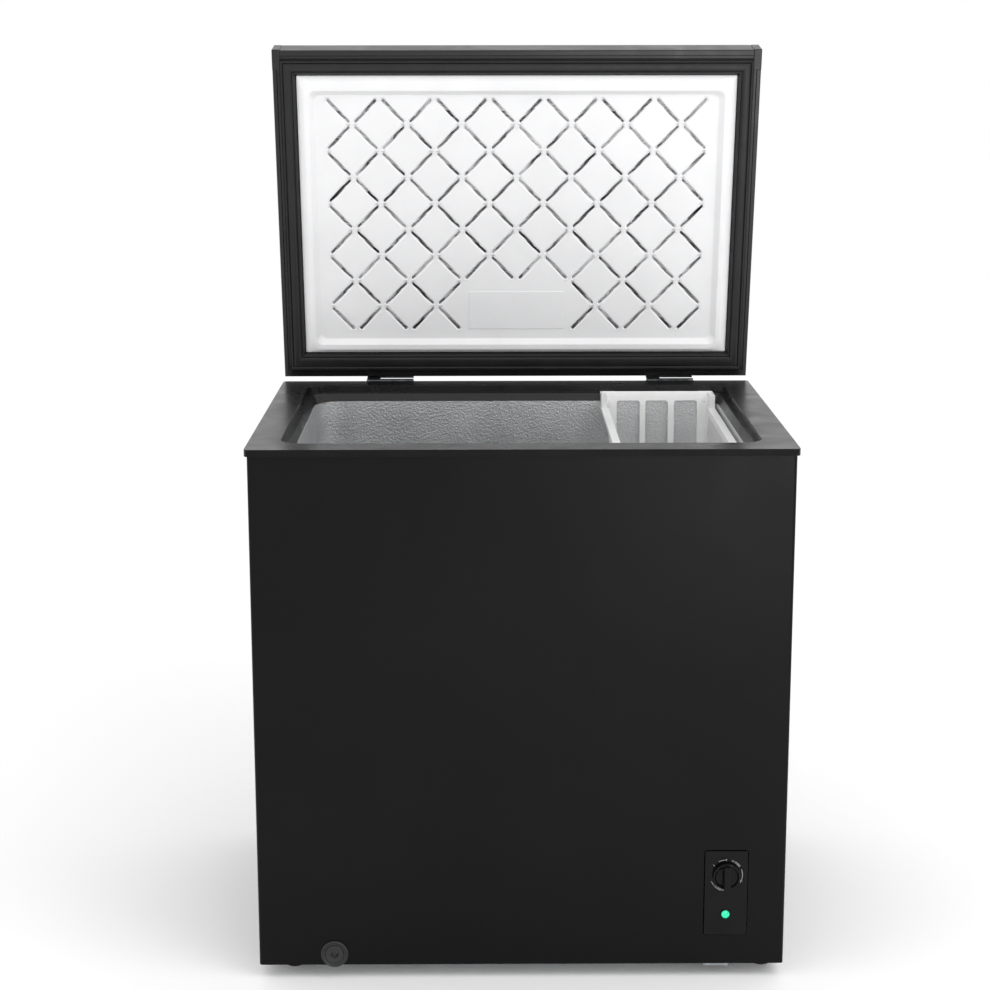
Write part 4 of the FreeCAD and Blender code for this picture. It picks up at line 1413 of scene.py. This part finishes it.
@dataclass(frozen=True)
class Knob:
    """The thermostat's knob: a dished disc with a grip bar across it."""

    layout: Layout
    x: float = 0.280
    z: float = 0.1506
    radius: float = 0.0185
    height: float = 0.015
    clearance: float = 0.002
    disc: float = 0.0062
    bar: float = 0.0108
    # Steps inwards over the disc's face, each with its rise.
    dish: tuple[tuple[float, float], ...] = (
        (0.0012, 0.0010), (0.0008, 0.0), (0.0016, -0.0022), (0.0030, -0.0012)
    )

    def build(self, finishes: Finishes) -> None:
        """Builds the knob and dresses it.

        Args:
            finishes: the materials.
        """
        knob = Work.rod(
            "temperature_knob", (0, 0, self.disc / 2), self.radius, self.disc, Axis.Z, 72
        )
        with knob.shaping():
            knob.pick_faces(lambda centre, normal: normal.z > 0.9)
            for thickness, depth in self.dish:
                bpy.ops.mesh.inset(thickness=thickness, depth=depth)
        half = self.bar / 2
        bar = Work.block(
            "grip", (-half, -self.radius - MM, 0.001), (half, self.radius + MM, self.height)
        )
        with bar.shaping():
            bar.pick_faces(lambda centre, normal: normal.z > 0.9)
            bpy.ops.transform.resize(value=(0.78, 1, 1))
        bar.soften(0.0012, 4)
        outline = Work.rod("outline", (0, 0, 0), self.radius - 0.0009, 0.1, Axis.Z, 72)
        bar.trim(outline)
        knob.fuse(bar)
        notch = Work.block(
            "notch", (-0.0005, 0.006, self.height - 0.0005), (0.0005, self.radius, self.height + MM)
        )
        knob.cut(notch)
        knob.merge()
        knob.soften(0.0003, 2, 40.0)
        knob.paint(finishes.gloss)
        knob.place(self.layout.front_place(self.x, self.z, self.clearance))
        knob.hand_over(Body.KNOB, Slot.BLACK_PLASTIC, ["thermostat_knob"])


@dataclass(frozen=True)
class Drain:
    """The drain at the foot of the front: a round socket and its plug."""

    layout: Layout
    x: float = -0.2576
    z: float = 0.0365
    radius: float = 0.019
    plug_radius: float = 0.0126

    def opening(self) -> Work:
        """The hole that the wrap has for the socket."""
        place = (self.x, self.layout.shell_low.y, self.z)
        return Work.rod("drain_opening", place, self.radius - 0.002, 0.03, Axis.Y, 48)

    def build(self, finishes: Finishes) -> None:
        """Builds the socket and the plug.

        Args:
            finishes: the materials.
        """
        socket = Work.rod("drain_flange", (0, 0, 0.0006), self.radius, 0.0028, Axis.Z, 72)
        with socket.shaping():
            socket.pick_faces(lambda centre, normal: normal.z > 0.9)
            bpy.ops.mesh.inset(thickness=0.0010, depth=0.0009)
            bpy.ops.mesh.inset(thickness=0.0012, depth=0.0)
            bpy.ops.mesh.inset(thickness=0.0012, depth=-0.0010)
        bore = Work.rod("bore", (0, 0, 0), self.plug_radius + 0.0004, 0.02, Axis.Z, 72)
        socket.cut(bore)
        socket.soften(0.0003, 2)
        socket.paint(finishes.technical)
        socket.place(self.layout.front_place(self.x, self.z))
        socket.hand_over(Body.CABINET, Slot.BLACK_PLASTIC, ["drain_socket"])
        plug = Work.rod("drain_stopper", (0, 0, -0.0030), self.plug_radius, 0.012, Axis.Z, 72)
        with plug.shaping():
            plug.pick_faces(lambda centre, normal: normal.z > 0.9)
            bpy.ops.mesh.inset(thickness=0.0009, depth=0.0009)
            bpy.ops.mesh.inset(thickness=0.0012, depth=-0.0002)
            bpy.ops.mesh.inset(thickness=0.0050, depth=-0.0007)
            bpy.ops.mesh.inset(thickness=0.0009, depth=0.0010)
            bpy.ops.mesh.inset(thickness=0.0014, depth=-0.0022)
        plug.paint(finishes.technical)
        plug.place(self.layout.front_place(self.x, self.z))
        plug.hand_over(Body.DRAIN_PLUG, Slot.BLACK_PLASTIC, ["drain_plug"])


@dataclass(frozen=True)
class Lid:
    """The lid's inner side: frame, corner caps, seal and the grooved white liner.

    On the lid's bench x runs across, y is the distance from the rear edge, and z stands towards
    the tank from the plane of the frame.
    """

    layout: Layout
    half: float = 0.365
    length: float = 0.516
    wall: float = 0.038
    skin: float = 0.0025
    land: tuple[float, float, float] = (0.3590, 0.0080, 0.5080)
    lip: tuple[float, float, float] = (0.3580, 0.0090, 0.5070)
    lip_high: float = -0.0012
    bead_foot: tuple[float, float, float] = (0.3552, 0.0118, 0.5037)
    bead_out: tuple[float, float, float] = (0.3546, 0.0124, 0.5031)
    bead_in: tuple[float, float, float] = (0.3540, 0.0130, 0.5025)
    bead_high: float = 0.0006
    channel_high: float = -0.0045
    back_high: float = -0.0075
    seal_out: tuple[float, float, float] = (0.3535, 0.0135, 0.5020)
    seal_in: tuple[float, float, float] = (0.3300, 0.0413, 0.4789)
    seal_high: float = 0.0088
    liner_edge: tuple[float, float, float] = (0.3298, 0.0415, 0.4787)
    table_edge: tuple[float, float, float] = (0.3200, 0.0470, 0.4700)
    table_corner: float = 0.019
    table_high: float = 0.0060
    field_edge: tuple[float, float, float] = (0.3120, 0.0560, 0.4560)
    field_floor: tuple[float, float, float] = (0.3050, 0.0630, 0.4500)
    field_corner: float = 0.010
    field_high: float = -0.0010
    pitch_x: float = 0.0414
    pitch_y: float = 0.0410
    columns: int = 14
    rows: int = 9
    first_row: float = 0.42455
    groove_length: float = 0.0500
    groove_width: float = 0.0076
    groove_rise: float = 36.5
    groove_run: float = 33.4
    groove_depth: float = 0.0024
    groove_margin: float = 0.0016
    groove_steps: tuple[tuple[float, float], ...] = (
        (0.4, 0.03), (0.7, 0.17), (0.8, 0.30), (0.8, 0.28), (0.8, 0.16)
    )
    label_columns: tuple[int, int] = (5, 8)
    label_rows: int = 2
    label: tuple[float, float, float, float] = (-0.0735, 0.0747, 0.0791, 0.1407)
    cap_width: float = 0.012
    cap_length: float = 0.030
    cap_proud: float = 0.0014
    cap_round: float = 0.0012

    def build(self, finishes: Finishes) -> None:
        """Builds the pieces of the lid and dresses them.

        Args:
            finishes: the materials.
        """
        self._frame(finishes)
        self._caps(finishes)
        self._seal(finishes)
        self._liner(finishes)

    def _ring(
        self,
        edge: tuple[float, float, float],
        height: float,
        corner: float = 0.0,
        grow: float = 0.0,
    ) -> Ring:
        """A level from its half width and its rear and front edges, grown by some margin.

        Args:
            edge: the half width, the rear edge and the front edge.
            height: its level.
            corner: the radius of its corners.
            grow: the margin all round, or less than nought to shrink it.

        Returns:
            The level.
        """
        half, rear, front = edge
        return Ring(
            2 * (half + grow), front - rear + 2 * grow, height, corner, (front + rear) / 2
        )

    def _between(self, share: float, height: float) -> Ring:
        """A level of the seal, at some share of the way from its outer to its inner edge.

        Args:
            share: how far in, from nought to one.
            height: its level.

        Returns:
            The level.
        """
        out, inner = self.seal_out, self.seal_in
        edge = tuple(a + (b - a) * share for a, b in zip(out, inner))
        return self._ring(edge, height)

    def _frame(self, finishes: Finishes) -> None:
        """The black frame: a rail round the lid with a channel for the seal.

        Args:
            finishes: the materials.
        """
        full = (self.half, 0.0, self.length)
        # How far in from the edge, and how high, from the top of the wall to its foot.
        outside = [(0.0, -self.wall), (0.0, -0.0020), (0.0006, -0.0006), (0.0020, 0.0)]
        rings = [self._ring(full, height, 0.0, -inset) for inset, height in outside]
        rings += [
            self._ring(self.land, 0.0),
            self._ring(self.lip, self.lip_high),
            self._ring(self.bead_foot, self.lip_high),
            self._ring(self.bead_out, self.bead_high),
            self._ring(self.bead_in, self.bead_high),
            self._ring(self.seal_out, self.channel_high),
            self._ring(self.liner_edge, self.channel_high),
            self._ring(self.liner_edge, self.back_high),
            self._ring(full, self.back_high, 0.0, -self.skin),
            self._ring(full, -self.wall, 0.0, -self.skin),
        ]
        frame_piece = Work.loft("lid_rail", rings, Ends.JOINED)
        frame_piece.paint(finishes.abs_black)
        frame_piece.place(self.layout.lid_place)
        frame_piece.hand_over(Body.LID, Slot.BLACK_PLASTIC, ["lid_frame"], 28.0)

    def _caps(self, finishes: Finishes) -> None:
        """The two caps that close the front corners of the frame.

        Args:
            finishes: the materials.
        """
        caps = []
        for side in (-1, 1):
            xs = sorted((side * (self.half - self.cap_width), side * self.half))
            cap = Work.block(
                "lid_cap",
                (xs[0], self.length - self.cap_length, -self.wall),
                (xs[1], self.length + self.cap_proud, self.cap_proud),
            )
            cap.soften(self.cap_round, 4)
            caps.append(cap)
        piece = caps[0].join(caps[1])
        piece.item.name = "lid_caps"
        piece.paint(finishes.abs_black)
        piece.place(self.layout.lid_place)
        piece.hand_over(Body.LID, Slot.BLACK_PLASTIC, ["lid_corner_caps"])

    def _seal(self, finishes: Finishes) -> None:
        """The seal: a soft hollow section with fine ribs, mitred and welded at its corners.

        Args:
            finishes: the materials.
        """
        high = self.seal_high
        # Share of the way in, and share of the height, over the visible side of the section.
        section = [
            (0.00, -0.50), (0.00, 0.30), (0.03, 0.62), (0.08, 0.84), (0.13, 0.88), (0.17, 0.80),
            (0.20, 0.70), (0.24, 0.84), (0.32, 0.95), (0.44, 1.00), (0.56, 1.00), (0.66, 0.94),
            (0.72, 0.84), (0.75, 0.72), (0.79, 0.80), (0.84, 0.78), (0.90, 0.60), (0.94, 0.30),
            (0.98, 0.10), (1.00, 0.02), (1.00, -0.50),
        ]
        rings = [self._between(share, rise * high) for share, rise in section]
        seal = Work.loft("lid_seal", rings, Ends.JOINED)
        seal.paint(finishes.gasket)
        seal.place(self.layout.lid_place)
        seal.hand_over(Body.LID, Slot.GASKET, ["lid_gasket"], 26.0)

    def _liner(self, finishes: Finishes) -> None:
        """The liner: a raised table with a sunken field of short slanting grooves.

        Args:
            finishes: the materials.
        """
        edge, table = self.liner_edge, self.table_edge
        rim, floor = self.field_edge, self.field_floor
        corner, high, low = self.table_corner, self.table_high, self.field_high
        rings = [
            self._ring(edge, -0.0041, 0.002),
            self._ring(edge, 0.0006, 0.002),
            self._ring(edge, 0.0013, 0.002, -0.0008),
            self._ring(table, high - 0.0008, corner, 0.0006),
            self._ring(table, high - 0.0002, corner, -0.0004),
            self._ring(table, high, corner - 0.001, -0.0018),
            self._ring(rim, high, self.field_corner, 0.0012),
            self._ring(rim, high - 0.0003, self.field_corner, 0.0002),
            self._ring(rim, high - 0.0011, self.field_corner, -0.0007),
            self._ring(floor, low + 0.0010, self.field_corner, 0.0006),
            self._ring(floor, low + 0.0003, self.field_corner, -0.0004),
            self._ring(floor, low, self.field_corner, -0.0016),
        ]
        liner = Work.loft("lid_inner_liner", rings, Ends.BOTTOM)
        liner.join(self._grooves())
        with liner.shaping("EDGE"):
            liner.pick_open_edges()
            bpy.ops.mesh.bridge_edge_loops()
            liner.pick_edges(lambda a, b: min(a.z, b.z) > APART / 2)
            bpy.ops.transform.translate(value=(0, 0, -APART))
        liner.merge()
        left, right, near, far = self.label
        middle = ((near + far) / 2, (left + right) / 2)
        # How much smaller than the field, how high over its floor, and the corners' radius.
        levels = ((0.0, -0.001, 0.003), (0.0, 0.0003, 0.003), (0.0014, 0.0008, 0.0025))
        plate = Work.loft(
            "label_field",
            [
                Ring(right - left - less, far - near - less, low + rise, corner, *middle)
                for less, rise, corner in levels
            ],
        )
        liner.join(plate)
        liner.paint(finishes.liner_white)
        liner.place(self.layout.lid_place)
        liner.hand_over(Body.LID, Slot.WHITE, ["lid_liner"], 60.0)

    def _grooves(self) -> Work:
        """The field of tiles: each holds one slanting groove, or none above the label.

        Returns:
            The grid of tiles.
        """
        turn = math.atan2(self.groove_rise, self.groove_run)
        falling = self._tile(-turn)
        rising = self._tile(turn)
        plain = self._plain_tile()
        tiles = []
        first_x = -self.pitch_x * (self.columns - 1) / 2
        for row in range(self.rows):
            for column in range(self.columns):
                hidden = row >= self.rows - self.label_rows
                hidden = hidden and self.label_columns[0] <= column <= self.label_columns[1]
                sample = falling if (row + column) % 2 == 0 else rising
                sample = plain if hidden else sample
                x = first_x + column * self.pitch_x
                y = self.first_row - row * self.pitch_y
                tiles.append(sample.copy((x, y, self.field_high + APART)))
        for sample in (falling, rising, plain):
            bpy.data.objects.remove(sample.item)
        grid = tiles[0].join(*tiles[1:])
        return grid.merge(0.0002)

    def _plain_tile(self) -> Work:
        """A tile with no groove.

        Returns:
            The tile.
        """
        bpy.ops.object.select_all(action="DESELECT")
        bpy.ops.mesh.primitive_plane_add(size=1)
        bpy.ops.transform.resize(value=(self.pitch_x, self.pitch_y, 1))
        return Work._taken("plain_tile")

    def _tile(self, turn: float) -> Work:
        """A tile with one groove that runs at an angle from the x axis.

        Args:
            turn: the groove's angle, in radians.

        Returns:
            The tile.
        """
        tile = self._plain_tile()
        with tile.shaping("EDGE"):
            bpy.ops.mesh.select_all(action="SELECT")
            bpy.ops.transform.translate(value=(0, 0, APART))
            bpy.ops.mesh.delete(type="ONLY_FACE")
            length = self.groove_length + self.groove_margin
            width = self.groove_width + self.groove_margin
            bpy.ops.mesh.primitive_plane_add(size=1)
            bpy.ops.transform.resize(value=(length, width, 1), center_override=(0, 0, 0))
            bpy.ops.mesh.bevel(offset=width / 2 - 0.00002, segments=6, affect="VERTICES")
            bpy.ops.transform.rotate(value=-turn, orient_axis="Z", center_override=(0, 0, 0))
            depth = self.groove_depth
            for inset, share in self.groove_steps:
                bpy.ops.mesh.inset(thickness=inset * MM, depth=-share * depth)
            tile.pick_open_edges()
            bpy.ops.mesh.bridge_edge_loops()
            tile.pick_edges(lambda a, b: min(a.z, b.z) > APART / 2)
            bpy.ops.transform.translate(value=(0, 0, -APART))
        return tile


@dataclass(frozen=True)
class Basket:
    """The hanging basket: windowed ends, low side rails and slatted sides."""

    layout: Layout
    left: float = 0.130
    right: float = 0.304
    half_depth: float = 0.206
    low: float = 0.566
    high: float = 0.7381
    rail: float = 0.719
    wall: float = 0.0026
    foot_width: float = 0.126
    foot_depth: float = 0.376
    rail_reach: float = 0.177
    windows: tuple[tuple[float, float], ...] = (
        (0.1549, 0.1906), (0.1991, 0.2341), (0.2434, 0.2792)
    )
    window_high: float = 0.7264
    window_low: float = 0.600
    slat_pitch: float = 0.0142
    slat_gap: float = 0.0092

    def build(self, finishes: Finishes) -> None:
        """Builds the basket and dresses it.

        Args:
            finishes: the materials.
        """
        y = self.layout.middle_y
        x = (self.left + self.right) / 2
        width = self.right - self.left
        depth = 2 * self.half_depth
        shoulder = self.high - 0.020
        tub = Work.loft(
            "storage_basket",
            [
                Ring(self.foot_width, self.foot_depth, self.low, 0.012, y, x),
                Ring(
                    self.foot_width + 0.010, self.foot_depth + 0.008, self.low + 0.006, 0.016, y, x
                ),
                Ring(width - 0.017, depth - 0.016, shoulder, 0.016, y, x),
                Ring(width - 0.006, depth - 0.007, self.high - 0.004, 0.010, y, x),
                Ring(width, depth, self.high, 0.008, y, x),
            ],
            Ends.BOTTOM,
        )
        with tub.shaping():
            bpy.ops.mesh.select_all(action="SELECT")
            bpy.ops.mesh.normals_make_consistent(inside=False)
        tub.thicken(self.wall, 1.0)
        tub.cut(*self._openings(x, y))
        tub.fuse(*self._rails(y))
        tub.merge()
        tub.soften(0.0006, 2, 45.0)
        tub.paint(finishes.basket_white)
        tub.hand_over(Body.BASKET, Slot.WHITE, ["basket"])

    def _openings(self, x: float, y: float) -> list[Work]:
        """The windows, the slots between the slats, the floor's slots and the dropped sides.

        Args:
            x: the basket's middle along x.
            y: the basket's middle along y.

        Returns:
            The cutting tools.
        """
        tools = []
        for left, right in self.windows:
            window = Work.block(
                "window", (left, y - 0.25, self.window_low), (right, y + 0.25, self.window_high)
            )
            tools.append(window.bevel_edges(lambda a, b: abs(a.y - b.y) > 0.1, 0.004, 4))
        reach = self.rail_reach
        tools.append(
            Work.block("drop", (0.0, y - reach, self.rail), (0.5, y + reach, self.high + 0.02))
        )
        count = 2 * int((reach - 0.012) / self.slat_pitch)
        start = y - self.slat_pitch * (count - 1) / 2
        slot = Work.block(
            "slot",
            (0.0, start - self.slat_gap / 2, self.low + 0.020),
            (0.5, start + self.slat_gap / 2, self.rail - 0.009),
        )
        slot.bevel_edges(lambda a, b: abs(a.x - b.x) > 0.1, 0.002, 3)
        tools.append(slot.repeat(count, (0, self.slat_pitch, 0)))
        floor = Work.block(
            "floor_slot",
            (x - 0.045, start - self.slat_gap / 2, self.low - 0.02),
            (x + 0.045, start + self.slat_gap / 2, self.low + 0.012),
        )
        tools.append(floor.repeat(count, (0, self.slat_pitch, 0)))
        return tools

    def _rails(self, y: float) -> list[Work]:
        """The thick rails along the dropped sides, the corner posts and the hanging lips.

        Args:
            y: the basket's middle along y.

        Returns:
            The rails, posts and lips.
        """
        parts = []
        for side, outer in ((-1, self.left), (1, self.right)):
            inner = outer - side * 0.0085
            xs = sorted((outer, inner))
            rail = Work.block(
                "rail",
                (xs[0], y - self.rail_reach - 0.004, self.rail - 0.006),
                (xs[1], y + self.rail_reach + 0.004, self.rail),
            )
            parts.append(rail)
            for end in (-1, 1):
                outside = y + end * (self.half_depth + 0.007)
                ys = sorted((y + end * (self.rail_reach - 0.004), outside))
                post = Work.block(
                    "post", (xs[0], ys[0], self.rail - 0.006), (xs[1], ys[1], self.high)
                )
                parts.append(post)
                lip_xs = sorted((outer, outer - side * 0.022))
                lip_ys = sorted((y + end * (self.half_depth - 0.002), outside))
                parts.append(
                    Work.block(
                        "lip",
                        (lip_xs[0], lip_ys[0], self.high - 0.0014),
                        (lip_xs[1], lip_ys[1], self.high + 0.0004),
                    )
                )
        return parts


class CarriedParts:
    """The CAD pieces whose shape is right already and only want a finish."""

    def __init__(self, finishes: Finishes) -> None:
        """Keeps the materials by slot.

        Args:
            finishes: the materials.
        """
        self.by_slot = {
            Slot.BLACK_ENAMEL: finishes.enamel,
            Slot.GALVANISED: finishes.galvanised,
            Slot.BLACK_PLASTIC: finishes.technical,
            Slot.ALUMINIUM: finishes.stucco,
            Slot.FOAM: finishes.foam,
            Slot.COIL: finishes.coil,
            Slot.COMPRESSOR: finishes.compressor,
            Slot.RUBBER: finishes.rubber,
            Slot.COPPER: finishes.copper,
            Slot.SCREW: finishes.screw,
            Slot.BLACK_GLOSS: finishes.gloss,
            Slot.LAMP: finishes.lens,
            Slot.HINGE: finishes.hinge,
            Slot.WHITE: finishes.liner_white,
            Slot.GASKET: finishes.gasket,
        }
        self.by_node = {"lid_cover": finishes.lid_enamel}

    def dress(self) -> None:
        """Gives every CAD node the finish of its slot, or one of its own."""
        for name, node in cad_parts.items():
            for index, material in enumerate(node.data.materials):
                slot = Slot(material.name.split(".")[0])
                node.material_slots[index].link = "OBJECT"
                node.material_slots[index].material = self.by_node.get(name, self.by_slot[slot])
            LOG.info("%s: CAD shape, dressed", name)


# ---------------------------------------------------------------------------------------------
# The studio
# ---------------------------------------------------------------------------------------------


@dataclass(frozen=True)
class Studio:
    """A pale floor, a pale surround, soft lights and the camera."""

    focal: float = 68.66
    sensor: float = 36.0
    shift_up: float = -0.0909
    eye: tuple[float, float, float] = (-0.0497, -2.6986, 1.2690)
    yaw: float = 0.330
    pitch: float = 10.846
    roll: float = -0.060
    floor_size: float = 60.0
    surround: float = 1.0

    def build(self) -> None:
        """Sets everything up."""
        self._camera()
        self._floor()
        self._surround()
        self._light("key", place=(1.9, -1.6, 2.9), target=(0.0, 0.0, 0.75), size=1.8, power=22.0)
        self._light("fill", place=(-2.6, -1.2, 2.0), target=(0.0, 0.0, 0.6), size=2.2, power=8.0)
        self._light("front", place=(0.85, -2.7, 0.55), target=(0.25, -0.28, 0.7), size=1.0, power=12.0)
        view = bpy.context.scene.view_settings
        view.view_transform = "Standard"
        view.look = "None"

    def _camera(self) -> None:
        """The camera, levelled and turned as its angles say."""
        yaw, pitch, roll = (math.radians(angle) for angle in (self.yaw, self.pitch, self.roll))
        ahead = Vector(
            (math.sin(yaw) * math.cos(pitch), math.cos(yaw) * math.cos(pitch), -math.sin(pitch))
        )
        right = Vector((math.cos(yaw), -math.sin(yaw), 0.0))
        up = right.cross(ahead)
        turned_right = math.cos(roll) * right + math.sin(roll) * up
        turned_up = math.cos(roll) * up - math.sin(roll) * right
        data = bpy.data.cameras.new("camera")
        data.lens = self.focal
        data.sensor_width = self.sensor
        data.shift_y = self.shift_up
        data.clip_start, data.clip_end = 0.05, 100.0
        camera = bpy.data.objects.new("camera", data)
        bpy.context.scene.collection.objects.link(camera)
        basis = Matrix((turned_right, turned_up, -ahead)).transposed().to_4x4()
        camera.matrix_world = Matrix.Translation(self.eye) @ basis
        bpy.context.scene.camera = camera

    def _floor(self) -> None:
        """The pale floor."""
        bpy.ops.object.select_all(action="DESELECT")
        bpy.ops.mesh.primitive_plane_add(size=self.floor_size)
        floor = bpy.context.object
        floor.name = "studio_floor"
        material = bpy.data.materials.new("pale_studio_floor")
        material.use_nodes = True
        shader = material.node_tree.nodes["Principled BSDF"]
        shader.inputs["Base Color"].default_value = linear("#FFFFFF")
        shader.inputs["Roughness"].default_value = 0.9
        shader.inputs["Specular IOR Level"].default_value = 0.0
        floor.data.materials.append(material)

    def _surround(self) -> None:
        """The even light from all round."""
        world = bpy.data.worlds.new("pale_surround")
        bpy.context.scene.world = world
        world.use_nodes = True
        background = world.node_tree.nodes["Background"]
        background.inputs["Color"].default_value = linear("#FFFFFF")
        background.inputs["Strength"].default_value = self.surround

    def _light(
        self,
        name: str,
        place: tuple[float, float, float],
        target: tuple[float, float, float],
        size: float,
        power: float,
    ) -> None:
        """One soft square light.

        Args:
            name: its name.
            place: where it hangs.
            target: what it points at.
            size: the length of its side.
            power: its power in watts.
        """
        data = bpy.data.lights.new(name, "AREA")
        data.shape = "SQUARE"
        data.size = size
        data.energy = power
        light = bpy.data.objects.new(name, data)
        bpy.context.scene.collection.objects.link(light)
        light.location = place
        way = Vector(target) - Vector(place)
        light.rotation_euler = way.to_track_quat("-Z", "Y").to_euler()


def main() -> None:
    """Builds the freezer and the studio, piece after piece."""
    logging.basicConfig(level=logging.INFO, format="%(name)s %(message)s")
    finishes = Finishes()
    layout = Layout()
    Studio().build()
    CarriedParts(finishes).dress()
    panel = ControlPanel(layout)
    drain = Drain(layout)
    Wrap(layout).build(finishes, panel, drain)
    Rim(layout).build(finishes)
    panel.build(finishes)
    Knob(layout).build(finishes)
    drain.build(finishes)
    Basket(layout).build(finishes)
    Lid(layout).build(finishes)


if __name__ == "__main__":
    main()
